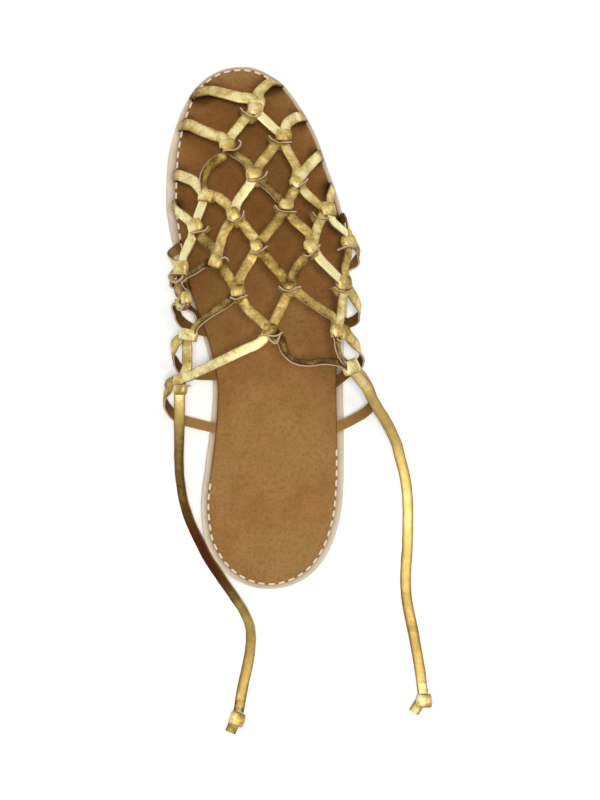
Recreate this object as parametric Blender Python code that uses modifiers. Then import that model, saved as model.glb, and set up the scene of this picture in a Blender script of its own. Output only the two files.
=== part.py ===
"""Knotted-net leather sandal, right shoe, standing empty on its sole.

A flat leather outsole carries a suede-covered insole. The upper is a net of narrow leather
straps, knotted where they cross. Its ends are tucked between the two soles, and two long
ties leave its last knots and lie down on the floor.

Tables are in millimetres: x towards the little toe, y forward from the back of the heel,
z up from the underside of the sole. The world origin is on the floor, under the middle of
the heel.
"""

import math

import bpy
from mathutils import Matrix, Vector

# ---------------------------------------------------------------- driving sizes (mm)
MM = 0.001
LENGTH = 250.0            # outsole, heel to toe
HEEL_REST = 35.0          # the origin lies this far forward of the back of the heel
GAP = 0.3                 # between pieces that touch

OUTSOLE_T = 4.5
INSOLE_T = 2.4
OUTSOLE_BEVEL = 0.6
INSOLE_BEVEL = 0.5
SOLE_STATIONS = 44        # cross-sections from heel to toe
TOE_SPRING = 5.0          # rise of the toe's tip
SPRING_FROM = 190.0       # where the sole starts to leave the floor
ARCH_RISE = 1.0
ARCH_SPAN = (76.0, 142.0)

STRAP_W = 4.3
STRAP_T = 1.1
KNOT_SIZE = (8.0, 7.4, 5.0)     # across, along and through the straps
TIE_KNOT_SIZE = (9.4, 8.8, 5.6)
KNOT_SEGMENTS = 12
KNOT_RINGS = 6
KNOT_LIFT = 0.9           # a knot's middle stands this far off the last
NET_STEPS = 5             # facets along a strap between two knots
NET_OFF = {-1: (0.1, 0.45), 1: (0.3, 0.7)}  # its ends off the last, by the side it runs to
EDGE_STEPS = 14           # facets along a strap that runs down to the sole
EDGE_OFF = 0.55           # such a strap off the last
TWIST_SHARE = 0.65        # the share of a strap's length over which it twists

TUCK = 7.5                # length of strap between the soles
TUCK_GAP = 0.4            # between such a strap and the outsole
SLOT_SIDE = 0.4           # room beside a strap in its slot
SLOT_DEEPER = 1.0         # room past a strap's end
SLOT_OUT = 4.0            # how far a slot's cutter reaches out of the sole's edge
SLOT_DOWN = 4.0           # and down past the strap
SHOULDER = (1.7, 4.0)     # out of the edge and over the tuck, where a strap leaves the last
BEND = ((1.75, 1.3), (1.4, 0.4), (0.7, 0.0))  # then the bend in under itself
SQUARE_IN = 1.5           # where a strap lies flat, inside the edge
SLOPE_STEP = 0.5          # for the slopes of the last
TURN_STEP = 0.01          # for the directions of the outline, in radians

TIE_W = 4.8
TIE_T = 1.1
TIE_STEP = 5.0            # distance between a tie's cross-sections
END_KNOT_SIZE = (8.0, 7.5, 4.4)
TAIL_LENGTH = 6.5         # past the knot
TAIL_FLOOR = 0.9          # the tail's flesh side off the floor

# The sole's outline: a row for each station, with both edges of the outsole and the width
# of the rim that shows outside the insole.
OUTLINE = [
    # y, medial x, lateral x, medial rim, lateral rim
    (0.0, -1.0, -1.0, 2.3, 2.3),
    (2.0, -11.7, 8.2, 2.4, 2.6),
    (8.0, -21.8, 18.8, 2.8, 3.0),
    (16.0, -28.5, 25.4, 3.2, 3.2),
    (26.0, -32.7, 29.9, 3.4, 3.4),
    (40.0, -34.2, 33.2, 3.4, 3.5),
    (58.0, -32.1, 34.5, 3.2, 3.4),
    (76.0, -29.3, 34.6, 2.6, 3.2),
    (95.0, -27.8, 34.2, 2.0, 3.0),
    (112.0, -29.6, 34.4, 1.8, 3.0),
    (130.0, -35.4, 36.0, 1.9, 2.8),
    (148.0, -42.0, 37.3, 2.4, 2.6),
    (166.0, -47.4, 36.6, 3.0, 2.4),
    (184.0, -50.1, 32.6, 3.4, 2.2),
    (202.0, -49.4, 26.7, 3.4, 2.2),
    (216.0, -46.5, 21.7, 3.3, 2.2),
    (229.0, -41.7, 14.9, 3.0, 2.2),
    (240.0, -35.0, 7.2, 2.6, 2.2),
    (247.0, -25.7, -2.4, 2.3, 2.1),
    (250.0, -13.9, -13.9, 2.0, 2.0),
]

# The last under the net: the line where it is widest on each side, and its ridge.
LAST = [
    # y, medial x, lateral x, ridge x, ridge z, widest z
    (76.0, -50.0, 47.0, 0.0, 54.0, 17.0),
    (95.0, -49.5, 45.0, 0.0, 52.5, 17.0),
    (123.0, -47.5, 42.5, -0.5, 49.0, 15.5),
    (142.0, -46.5, 41.0, -1.0, 45.0, 13.5),
    (162.0, -45.8, 39.5, -2.0, 40.5, 11.5),
    (180.0, -47.3, 33.0, -4.5, 35.5, 10.0),
    (196.0, -47.2, 27.6, -7.5, 30.5, 9.0),
    (213.0, -44.6, 21.8, -10.5, 24.5, 8.5),
    (230.0, -38.5, 13.0, -13.0, 17.0, 8.0),
    (243.0, -29.0, 2.5, -13.7, 10.5, 7.5),
]

# The knots, in rows from the toe back. Letters run from the medial side.
KNOTS = {
    # name: (x, y)
    "1a": (-8.0, 227.5),
    "2a": (-22.0, 210.0), "2b": (4.0, 214.5),
    "3a": (-31.5, 187.0), "3b": (-9.0, 195.0), "3c": (11.5, 192.5),
    "4a": (-36.5, 170.5), "4b": (-19.0, 176.0), "4c": (4.5, 179.5), "4d": (24.0, 179.0),
    "5a": (-43.0, 152.0), "5b": (-27.5, 156.0), "5c": (-8.5, 158.5), "5d": (16.0, 159.5),
    "5e": (36.0, 163.5),
    "6a": (-42.5, 136.0), "6b": (-18.5, 138.0), "6c": (5.0, 140.5), "6d": (32.5, 144.5),
    "7a": (-40.5, 121.0), "7b": (-4.8, 122.0), "7c": (28.0, 121.0),
    "8a": (-45.5, 98.0), "8c": (34.2, 105.6),
}
TIE_KNOTS = ("8a", "8c")

# The net: each strap runs from the first knot back to the second.
NET = [
    ("1a", "2a"), ("1a", "2b"),
    ("2a", "3a"), ("2a", "3b"), ("2b", "3b"), ("2b", "3c"),
    ("3a", "4a"), ("3a", "4b"), ("3b", "4b"), ("3b", "4c"), ("3c", "4c"), ("3c", "4d"),
    ("4a", "5a"), ("4a", "5b"), ("4b", "5b"), ("4b", "5c"), ("4c", "5c"), ("4c", "5d"),
    ("4d", "5d"), ("4d", "5e"),
    ("5a", "6a"), ("5b", "6a"), ("5b", "6b"), ("5c", "6b"), ("5c", "6c"), ("5d", "6c"),
    ("5d", "6d"), ("5e", "6d"),
    ("6a", "7a"), ("6b", "7a"), ("6b", "7b"), ("6c", "7b"), ("6c", "7c"), ("6d", "7c"),
    ("7a", "8a"), ("7b", "8a"), ("7b", "8c"), ("7c", "8c"),
]

# Straps that run forward and down from a knot, and fold over the rim into the sole.
FOLDED = [
    # knot, side (-1 medial, 1 lateral), y at the sole's edge
    ("1a", -1, 237.5), ("1a", 1, 242.0),
    ("2a", -1, 222.5), ("2b", 1, 225.5),
    ("3a", -1, 198.0), ("3c", 1, 208.0),
    ("4a", -1, 182.5), ("4d", 1, 192.5),
    ("5a", -1, 161.5), ("5e", 1, 176.0),
]

# Straps that leave the back of a knot, hang out beside the foot and come in under it.
LOOPED = [
    # knot, side, y at the sole's edge, [(x, y, z) from the knot to the rim]
    ("5a", -1, 143.5, [(-47.3, 148.5, 17.0), (-47.6, 145.8, 9.5)]),
    ("5e", 1, 153.5, [(41.0, 158.5, 15.0), (41.3, 155.5, 8.8)]),
    ("6a", -1, 122.0, [(-47.5, 131.5, 20.0), (-47.2, 128.0, 11.5), (-41.5, 125.5, 6.9)]),
    ("6d", 1, 127.5, [(40.0, 136.5, 22.0), (42.3, 132.0, 13.0), (40.0, 129.0, 7.2)]),
    ("7a", -1, 101.5, [(-47.4, 114.5, 26.5), (-49.2, 108.5, 15.5), (-44.0, 104.5, 7.2),
                       (-36.0, 103.2, 6.1)]),
    ("7c", 1, 99.0, [(39.5, 114.5, 30.0), (44.5, 108.5, 18.0), (42.0, 102.5, 8.2)]),
    ("8a", -1, 77.0, [(-51.5, 93.0, 22.5), (-51.8, 87.5, 12.8), (-46.5, 82.5, 7.0),
                      (-38.0, 80.0, 6.1)]),
    ("8c", 1, 77.0, [(46.5, 98.0, 30.0), (51.0, 90.5, 18.5), (48.0, 84.0, 9.5),
                     (41.0, 79.8, 6.3)]),
]

# The ties: a point for each bend of the route, down from the knot and along the floor.
TIES = {
    "tie_medial": [
        (-45.1, 94.3, 29.6), (-44.6, 86.5, 27.6), (-44.2, 78.0, 22.5), (-44.2, 69.5, 15.5),
        (-44.0, 61.0, 8.5), (-43.2, 52.5, 3.4), (-41.6, 42.5, 1.0), (-39.4, 32.5, 0.75),
        (-35.9, 23.0, 0.75), (-31.2, 14.5, 0.75), (-24.6, 5.6, 0.75), (-17.4, -3.5, 0.75),
        (-12.0, -12.2, 0.75), (-9.7, -18.4, 0.75), (-9.2, -24.2, 0.75), (-10.3, -32.5, 0.75),
        (-13.2, -45.4, 0.75), (-15.6, -57.6, 0.75),
    ],
    "tie_lateral": [
        (37.8, 100.4, 36.2), (40.6, 96.9, 34.4), (44.6, 91.6, 29.5), (49.0, 85.8, 22.5),
        (53.3, 79.4, 14.5), (58.5, 70.6, 6.0), (62.0, 62.0, 2.0), (64.3, 54.0, 0.85),
        (65.8, 44.0, 0.75), (66.1, 31.5, 0.75), (65.9, 20.5, 0.75), (65.3, 10.5, 0.75),
        (65.0, 3.5, 0.75), (65.3, -3.0, 0.75), (66.2, -9.8, 0.75), (67.6, -16.6, 0.75),
        (69.6, -26.9, 0.75), (71.8, -39.0, 0.75), (73.0, -48.2, 0.75),
    ],
}
TAIL_TURN = {"tie_medial": -12.0, "tie_lateral": -38.0}     # degrees, of the tail's direction

COLOURS = {
    # name: (colour, roughness, metallic)
    "sole_leather": ((0.72, 0.55, 0.40, 1.0), 0.6, 0.0),
    "suede": ((0.30, 0.17, 0.07, 1.0), 0.95, 0.0),
    "gold_leather": ((0.80, 0.58, 0.22, 1.0), 0.35, 0.9),
}


# ---------------------------------------------------------------- tables and curves
def at(x, y, z):
    """A point of the tables, in world metres."""
    return Vector((x, y - HEEL_REST, z)) * MM


def hermite(xs, values, x, loose=False):
    """The smooth curve through a column of values, at x. Only a loose one overshoots them."""
    last = len(xs) - 1
    i = max(0, min(last - 1, sum(1 for one in xs[1:-1] if one <= x)))

    def slope(k):
        steps = [(values[j + 1] - values[j]) / (xs[j + 1] - xs[j])
                 for j in (k - 1, k) if 0 <= j < last]
        if len(steps) == 1:
            return steps[0]
        before, after = steps
        if loose:
            share = (xs[k] - xs[k - 1]) / (xs[k + 1] - xs[k - 1])
            return before * (1 - share) + after * share
        return 2 * before * after / (before + after) if before * after > 0 else 0.0

    step = xs[i + 1] - xs[i]
    t = (x - xs[i]) / step
    return (
        (2 * t**3 - 3 * t**2 + 1) * values[i]
        + (t**3 - 2 * t**2 + t) * step * slope(i)
        + (3 * t**2 - 2 * t**3) * values[i + 1]
        + (t**3 - t**2) * step * slope(i + 1)
    )


def turn_of(y):
    """Where y lies between the heel and the toe, as an angle, so round ends stay round."""
    return math.acos(max(-1.0, min(1.0, 1.0 - 2.0 * y / LENGTH)))


def outline_point(turn, side):
    """A point of the outsole's edge."""
    turns = [turn_of(row[0]) for row in OUTLINE]
    x = hermite(turns, [row[1 if side < 0 else 2] for row in OUTLINE], turn)
    return Vector((x, LENGTH / 2 * (1.0 - math.cos(turn)), 0.0))


def edge_point(turn, side, rim):
    """A point of the outsole's edge, or with rim 1 of the insole's edge inside it."""
    along = outline_point(turn + TURN_STEP, side) - outline_point(turn - TURN_STEP, side)
    inward = Vector((along.y, -along.x, 0.0)).normalized() * -side
    turns = [turn_of(row[0]) for row in OUTLINE]
    width = hermite(turns, [row[3 if side < 0 else 4] for row in OUTLINE], turn)
    return outline_point(turn, side) + inward * width * rim


def lift(y):
    """How far the sole's underside is off the floor at y."""
    spring = max(0.0, y - SPRING_FROM) / (LENGTH - SPRING_FROM)
    low, high = ARCH_SPAN
    along = min(1.0, max(0.0, (y - low) / (high - low)))
    return TOE_SPRING * spring**2 + ARCH_RISE * math.sin(math.pi * along) ** 2


def last_column(y, column):
    """A column of the last's table, at y."""
    y = min(max(y, LAST[0][0]), LAST[-1][0])
    return hermite([row[0] for row in LAST], [row[column] for row in LAST], y)


def last_height(x, y):
    """The height of the last's surface over the floor: half an ellipse on each side."""
    medial, lateral, ridge, top, widest = (last_column(y, column) for column in range(1, 6))
    half = lateral - ridge if x > ridge else ridge - medial
    out = min(abs(x - ridge) / half, 0.995)
    return lift(y) + widest + (top - widest) * math.sqrt(1.0 - out**2)


def last_normal(x, y):
    """The last's outward normal."""
    step = SLOPE_STEP
    across = (last_height(x + step, y) - last_height(x - step, y)) / (2 * step)
    along = (last_height(x, y + step) - last_height(x, y - step)) / (2 * step)
    return Vector((-across, -along, 1.0)).normalized()


def on_last(x, y, off=0.0):
    """A point that far off the last's surface, in millimetres."""
    return Vector((x, y, last_height(x, y))) + last_normal(x, y) * off


def smooth_path(points, count, loose=False):
    """count + 1 points, evenly spaced along a smooth curve through the given ones."""
    points = [Vector(point) for point in points]
    reach = [0.0]
    for one, two in zip(points, points[1:]):
        reach.append(reach[-1] + (two - one).length)
    fine = []
    for k in range(count * 8 + 1):
        along = reach[-1] * k / (count * 8)
        fine.append(Vector([hermite(reach, [p[axis] for p in points], along,
                                    loose and axis < 2) for axis in range(3)]))
    length = [0.0]
    for one, two in zip(fine, fine[1:]):
        length.append(length[-1] + (two - one).length)
    out, i = [], 0
    for k in range(count + 1):
        want = length[-1] * k / count
        while i < len(fine) - 2 and length[i + 1] < want:
            i += 1
        t = (want - length[i]) / max(length[i + 1] - length[i], 1e-9)
        out.append(fine[i].lerp(fine[i + 1], min(1.0, t)))
    return out


def tangents(points):
    """The direction of a path at each of its points."""
    out = []
    for i in range(len(points)):
        before, after = points[max(0, i - 1)], points[min(len(points) - 1, i + 1)]
        out.append((after - before).normalized())
    return out


def sides(points, first, last):
    """The direction across a strap at each point, turned from first to last on its way."""
    ways = tangents(points)
    carried = [(first - ways[0] * first.dot(ways[0])).normalized()]
    for one, two in zip(ways, ways[1:]):
        turned = one.rotation_difference(two) @ carried[-1]
        carried.append((turned - two * turned.dot(two)).normalized())
    end = (last - ways[-1] * last.dot(ways[-1])).normalized()
    twist = math.atan2(carried[-1].cross(end).dot(ways[-1]), carried[-1].dot(end))
    turned = (len(points) - 1) * TWIST_SHARE
    return [Matrix.Rotation(twist * min(1.0, i / turned), 3, way) @ side
            for i, (way, side) in enumerate(zip(ways, carried))]


# ---------------------------------------------------------------- objects
def material(name):
    """A plain material."""
    made = bpy.data.materials.get(name)
    if made is None:
        colour, roughness, metallic = COLOURS[name]
        made = bpy.data.materials.new(name)
        made.use_nodes = True
        shader = made.node_tree.nodes["Principled BSDF"]
        shader.inputs["Base Color"].default_value = colour
        shader.inputs["Roughness"].default_value = roughness
        shader.inputs["Metallic"].default_value = metallic
    return made


def collection(name):
    """A new collection in the scene."""
    made = bpy.data.collections.new(name)
    bpy.context.scene.collection.children.link(made)
    return made


def mesh_object(name, points, faces, home, finish=None):
    """An object of the given faces. Points are in millimetres."""
    mesh = bpy.data.meshes.new(name)
    mesh.from_pydata([at(*point) for point in points], [], faces)
    mesh.update()
    made = bpy.data.objects.new(name, mesh)
    home.objects.link(made)
    if finish:
        mesh.materials.append(material(finish))
    else:
        made.hide_render = True
        made.display_type = "WIRE"
    return made


def thicken(made, thickness):
    """Gives an open surface its thickness, on the side that its faces point to."""
    solid = made.modifiers.new("thickness", "SOLIDIFY")
    solid.thickness = thickness * MM
    solid.offset = 1.0
    solid.use_even_offset = True


def sole_layer(name, rim, bottom, thickness, bevel, home, finish):
    """A layer of the sole: a surface along its underside, thickened upwards."""
    points, faces = [], []
    for i in range(SOLE_STATIONS):
        turn = math.pi * (i + 0.5) / SOLE_STATIONS
        medial, lateral = edge_point(turn, -1, rim), edge_point(turn, 1, rim)
        points += [(x, y, bottom + lift(y))
                   for x, y, _ in (medial, (medial + lateral) / 2, lateral)]
    for i in range(SOLE_STATIONS - 1):
        a, b = 3 * i, 3 * i + 3
        faces += [(a, a + 1, b + 1, b), (a + 1, a + 2, b + 2, b + 1)]
    made = mesh_object(name, points, faces, home, finish)
    thicken(made, thickness)
    made.modifiers["thickness"].use_even_offset = False
    rounded = made.modifiers.new("edges", "BEVEL")
    rounded.width = bevel * MM
    rounded.segments = 2
    rounded.limit_method = "ANGLE"
    rounded.angle_limit = math.radians(60)
    return made


def strap(name, points, first, last, width, thickness, home, finish=None):
    """A flat strap along a path of its flesh side, with its grain side out."""
    corners = []
    for point, side in zip(points, sides(points, first, last)):
        corners += [point - side * width / 2, point + side * width / 2]
    faces = [(2 * i, 2 * i + 1, 2 * i + 3, 2 * i + 2) for i in range(len(points) - 1)]
    made = mesh_object(name, corners, faces, home, finish)
    thicken(made, thickness)
    made.modifiers.new("flat_faces", "TRIANGULATE")
    return made


def knot(name, middle, along, normal, size, home):
    """A knot's rounded lump, across the straps that it ties."""
    bpy.ops.mesh.primitive_uv_sphere_add(segments=KNOT_SEGMENTS, ring_count=KNOT_RINGS,
                                         radius=0.5)
    made = bpy.context.object
    made.name = name
    for owner in made.users_collection:
        owner.objects.unlink(made)
    home.objects.link(made)
    along = (along - normal * along.dot(normal)).normalized()
    across = along.cross(normal)
    axes = Matrix((across * size[0], along * size[1], normal * size[2])).transposed() * MM
    made.data.transform(Matrix.Translation(at(*middle)) @ axes.to_4x4())
    made.hide_render = True
    made.display_type = "WIRE"
    return made


def joined(name, pieces, first, home, finish):
    """One solid out of overlapping pieces: the first one, united with all of a collection."""
    body = bpy.data.objects.new(name, first.data.copy())
    home.objects.link(body)
    body.data.materials.clear()
    body.data.materials.append(material(finish))
    for owner in first.users_collection:
        owner.objects.unlink(first)
    bpy.data.objects.remove(first)
    union = body.modifiers.new("union", "BOOLEAN")
    union.operation = "UNION"
    union.operand_type = "COLLECTION"
    union.collection = pieces
    union.solver = "EXACT"
    return body


# ---------------------------------------------------------------- the upper
def knot_middle(name):
    """The middle of a knot."""
    return on_last(*KNOTS[name], off=KNOT_LIFT)


def knot_direction(name):
    """The way a knot faces: forward, between the straps that it ties."""
    here = Vector(KNOTS[name])
    ways = [Vector(KNOTS[one if two == name else two]) - here
            for one, two in NET if name in (one, two)]
    total = sum(((way.normalized() * (1 if way.y > 0 else -1)) for way in ways),
                Vector((0.0, 0.0)))
    return Vector((total.x, total.y, 0.0))


def slot_height(y):
    """The flesh side of a strap where it is tucked between the soles."""
    return OUTSOLE_T + TUCK_GAP + STRAP_T + lift(y)


def rim_point(side, y):
    """A point on the insole's edge, at the height of the tucked straps' flesh side."""
    x, y, _ = edge_point(turn_of(y), side, 1.0)
    return Vector((x, y, slot_height(y)))


def rim_outward(side, y):
    """The way that faces straight out of the sole's edge."""
    turn = turn_of(y)
    return (edge_point(turn, side, 0.0) - edge_point(turn, side, 1.0)).normalized()


def across_at(name, way):
    """Across a strap that leaves a knot along way, flat on the last."""
    return way.cross(last_normal(*KNOTS[name])).normalized()


def net_strap(one, two, home):
    """A strap between two knots, over the last."""
    start, end = Vector(KNOTS[one]), Vector(KNOTS[two])
    low, high = NET_OFF[-1 if end.x < start.x else 1]
    steps = [i / NET_STEPS for i in range(NET_STEPS + 1)]
    points = [on_last(*start.lerp(end, t), off=low + (high - low) * t) for t in steps]
    return strap(f"strap_{one}_{two}", points, across_at(one, points[1] - points[0]),
                 across_at(two, points[-1] - points[-2]), STRAP_W, STRAP_T, home)


def between_soles(edge, out, distance):
    """A point of a tucked strap's flesh side, that far inside the insole's edge."""
    x, y, _ = edge - out * distance
    return Vector((x, y, slot_height(y)))


def tucked(edge, out):
    """The last points of a strap's path: over the rim, and in between the soles."""
    bend = [edge + out * away + Vector((0.0, 0.0, up)) for away, up in BEND]
    return bend + [between_soles(edge, out, SQUARE_IN), between_soles(edge, out, TUCK)]


def folded_path(name, side, y):
    """Down over the last from a knot to the sole, and folded in under itself."""
    start = Vector(KNOTS[name])
    edge = rim_point(side, y)
    out = rim_outward(side, y)
    away, up = SHOULDER
    points = [on_last(*start.lerp(edge.xy, t), off=EDGE_OFF) for t in (0.0, 0.35, 0.65, 0.86)]
    points.append(edge + out * away + Vector((0.0, 0.0, up)))
    return points + tucked(edge, out), out


def looped_path(name, side, y, route):
    """Out and down beside the foot from a knot, and in under it to the sole."""
    edge = rim_point(side, y)
    points = [knot_middle(name)]
    points += [Vector((x, along, height + lift(along))) for x, along, height in route]
    if len(route) > 2:
        out = (Vector(points[-1]).xy - edge.xy).normalized().to_3d()
        points += [between_soles(edge, out, -SQUARE_IN), between_soles(edge, out, TUCK)]
    else:
        out = rim_outward(side, y)
        points += tucked(edge, out)
    return points, out


def edge_strap(name, tag, path, out, home):
    """A strap from a knot to the sole."""
    points = smooth_path(path, EDGE_STEPS)
    first = across_at(name, points[1] - points[0])
    up = Vector((0.0, 0.0, 1.0))
    return strap(f"strap_{name}_{tag}", points, first, out.cross(up), STRAP_W, STRAP_T, home)


def slot(tag, edge, out, home):
    """The room for a tucked strap in the insole's underside."""
    bpy.ops.mesh.primitive_cube_add(size=1.0)
    made = bpy.context.object
    made.name = f"slot_{tag}"
    for owner in made.users_collection:
        owner.objects.unlink(made)
    home.objects.link(made)
    ends = between_soles(edge, out, TUCK + SLOT_DEEPER), between_soles(edge, out, -SLOT_OUT)
    along = ends[1] - ends[0]
    across = Vector((0.0, 0.0, 1.0)).cross(along).normalized()
    up = along.cross(across).normalized()
    size = (along.length, STRAP_W + 2 * SLOT_SIDE, STRAP_T + SLOT_DOWN)
    middle = (ends[0] + ends[1]) / 2 + up * (GAP - size[2] / 2)
    axes = Matrix((along, across * size[1], up * size[2])).transposed() * MM
    made.data.transform(Matrix.Translation(at(*middle)) @ axes.to_4x4())
    made.hide_render = True
    made.display_type = "WIRE"
    return made


def upper(home, pieces, slots):
    """The net and its straps to the sole, as one solid, and the slots that they need."""
    for name in KNOTS:
        size = TIE_KNOT_SIZE if name in TIE_KNOTS else KNOT_SIZE
        knot(f"knot_{name}", knot_middle(name), knot_direction(name),
             last_normal(*KNOTS[name]), size, pieces)
    for one, two in NET:
        net_strap(one, two, pieces)
    for name, side, y in FOLDED:
        path, out = folded_path(name, side, y)
        edge_strap(name, f"fold_{side}", path, out, pieces)
        slot(f"{name}_fold_{side}", rim_point(side, y), out, slots)
    for name, side, y, route in LOOPED:
        path, out = looped_path(name, side, y, route)
        edge_strap(name, f"loop_{side}", path, out, pieces)
        slot(f"{name}_loop_{side}", rim_point(side, y), out, slots)
    return joined("upper", pieces, pieces.objects["knot_7b"], home, "gold_leather")


# ---------------------------------------------------------------- the ties
def tie(name, home):
    """A tie, flat on the floor but for its fall from the knot."""
    route = TIES[name]
    length = sum((Vector(a) - Vector(b)).length for a, b in zip(route, route[1:]))
    points = smooth_path(route, round(length / TIE_STEP), loose=True)
    ways = tangents(points)
    up = Vector((0.0, 0.0, 1.0))
    flat = [point - up * TIE_T / 2 for point in points]
    return strap(name, flat, ways[0].cross(up), ways[-1].cross(up), TIE_W, TIE_T, home,
                 "gold_leather")


def end_knot(name, tie_name, home, pieces):
    """The knot that ends a tie, with its short tail."""
    before, end = (Vector(point) for point in TIES[tie_name][-2:])
    way = (end - before).normalized()
    up = Vector((0.0, 0.0, 1.0))
    _, along, through = END_KNOT_SIZE
    middle = Vector((end.x, end.y, (through + GAP) / 2)) + way * (along - GAP) / 2
    lump = knot(f"{name}_lump", middle, way, up, END_KNOT_SIZE, pieces)
    tail_way = Matrix.Rotation(math.radians(TAIL_TURN[tie_name]), 3, "Z") @ way
    low = Vector((middle.x, middle.y, TAIL_FLOOR))
    tail = [low + tail_way * (along / 2 + TAIL_LENGTH) * t for t in (0.2, 0.6, 1.0)]
    strap(f"{name}_tail", tail, tail_way.cross(up), tail_way.cross(up), TIE_W, TIE_T, pieces)
    return joined(name, pieces, lump, home, "gold_leather")


# ---------------------------------------------------------------- the whole sandal
def main():
    for old in list(bpy.data.objects):
        bpy.data.objects.remove(old, do_unlink=True)
    sandal = collection("leather_sandal")
    net = collection("net_pieces")
    slots = collection("slots")

    sole_layer("outsole", 0.0, 0.0, OUTSOLE_T, OUTSOLE_BEVEL, sandal, "sole_leather")
    insole = sole_layer("insole", 1.0, OUTSOLE_T + GAP, INSOLE_T, INSOLE_BEVEL, sandal,
                        "suede")
    upper(sandal, net, slots)
    cut = insole.modifiers.new("strap_slots", "BOOLEAN")
    cut.operation = "DIFFERENCE"
    cut.operand_type = "COLLECTION"
    cut.collection = slots
    cut.solver = "EXACT"
    for name in TIES:
        tie(name, sandal)
        end = name.replace("tie", "end_knot")
        end_knot(end, name, sandal, collection(f"{end}_pieces"))


main()
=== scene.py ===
"""Looks of a knotted-net leather sandal, right shoe, standing empty on its sole.

Tables are in millimetres: x towards the little toe, y forward from the back of the heel,
z up from the floor. The world origin is on the floor, under the middle of the heel.
"""

import math

import bpy
from bpy.props import FloatProperty, FloatVectorProperty, PointerProperty
from mathutils import Matrix, Vector, noise


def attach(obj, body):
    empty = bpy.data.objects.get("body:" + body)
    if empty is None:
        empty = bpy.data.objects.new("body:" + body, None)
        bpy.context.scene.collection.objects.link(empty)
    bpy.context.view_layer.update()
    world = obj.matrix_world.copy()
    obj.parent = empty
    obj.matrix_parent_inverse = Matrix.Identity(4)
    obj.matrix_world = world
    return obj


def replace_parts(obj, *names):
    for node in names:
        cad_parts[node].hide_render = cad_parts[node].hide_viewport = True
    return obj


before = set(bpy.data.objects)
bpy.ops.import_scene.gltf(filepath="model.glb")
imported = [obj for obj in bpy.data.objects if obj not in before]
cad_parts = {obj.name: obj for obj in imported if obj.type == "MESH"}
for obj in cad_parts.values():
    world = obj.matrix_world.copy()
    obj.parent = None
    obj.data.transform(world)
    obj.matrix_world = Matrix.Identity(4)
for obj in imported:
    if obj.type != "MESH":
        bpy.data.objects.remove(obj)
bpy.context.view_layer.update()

bl_info = {
    "name": "Knotted leather sandal",
    "version": (1, 0, 0),
    "blender": (4, 5, 0),
    "location": "View3D > Sidebar > Sandal",
    "description": "Dresses the solids of a knotted-net sandal in leather, suede and thread",
    "category": "Object",
}

# ---------------------------------------------------------------- the sandal's sizes (mm)
MM = 0.001
LENGTH = 247.6
HEEL_REST = 35.0
TOE_SPRING = 5.0
SPRING_FROM = 190.0
ARCH_RISE = 1.0
ARCH_SPAN = (76.0, 142.0)
OUTSOLE_THICKNESS = 4.5
INSOLE_THICKNESS = 2.55
INSOLE_UNDER = 4.65       # the insole's underside over the outsole's
STRAP_UNDER = 0.4         # a tucked strap's grain over the outsole
TUCK = 7.0                # how far a strap goes in between the soles
LIP_THICKNESS = 0.8
LIP_STEP = 0.45           # between a lip's cross-sections
KNOT_FLAT = 0.45          # how much of the last's slope a knot leans with
TWIST_SHARE = 0.65        # the share of a strap's length over which it twists
STATIONS = 150            # cross-sections of a sole from heel to toe
STITCH_INSET, STITCH_HEIGHT = 0.45, 7.0
UP = Vector((0.0, 0.0, 1.0))

OUTLINE = [
    # y, medial x, lateral x, medial rim, lateral rim
    (0.0, -1.0, -1.0, 2.3, 2.3),
    (2.0, -11.7, 10.4, 2.4, 2.7),
    (8.0, -21.8, 20.1, 2.8, 3.1),
    (16.0, -28.3, 26.3, 3.0, 3.2),
    (26.0, -32.3, 30.7, 3.0, 3.3),
    (40.0, -33.6, 33.7, 2.9, 3.4),
    (58.0, -31.7, 34.6, 2.9, 3.4),
    (76.0, -29.3, 34.6, 2.6, 3.6),
    (95.0, -27.8, 34.2, 2.0, 3.6),
    (112.0, -30.2, 34.4, 1.6, 3.4),
    (130.0, -36.4, 36.0, 1.7, 2.9),
    (148.0, -42.9, 37.3, 2.3, 2.6),
    (166.0, -47.4, 36.6, 3.5, 2.4),
    (184.0, -50.1, 32.6, 4.2, 2.2),
    (202.0, -49.4, 26.4, 4.1, 2.2),
    (216.0, -46.5, 21.2, 3.2, 2.1),
    (228.0, -42.0, 14.4, 2.3, 2.1),
    (238.0, -35.8, 6.7, 1.6, 2.0),
    (244.6, -27.1, -2.3, 1.5, 1.9),
    (247.6, -13.9, -13.9, 1.8, 1.8),
]
OUTLINE_TURNS = [math.acos(1.0 - 2.0 * row[0] / LENGTH) for row in OUTLINE]

LAST = [
    # y, medial x, lateral x, ridge x, ridge z, widest z
    (76.0, -50.0, 47.0, 0.0, 54.0, 17.0),
    (95.0, -49.5, 45.0, 0.0, 52.5, 17.0),
    (123.0, -47.5, 42.5, -0.5, 49.0, 15.5),
    (142.0, -46.5, 41.0, -1.0, 45.0, 13.5),
    (162.0, -45.8, 39.5, -2.0, 40.5, 11.5),
    (180.0, -47.3, 33.0, -4.5, 35.5, 10.0),
    (196.0, -47.2, 27.6, -7.5, 30.5, 9.0),
    (213.0, -44.6, 21.8, -10.5, 24.5, 8.5),
    (230.0, -38.5, 13.0, -13.0, 17.0, 8.0),
    (243.0, -29.0, 2.5, -13.7, 10.5, 7.5),
]

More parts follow.
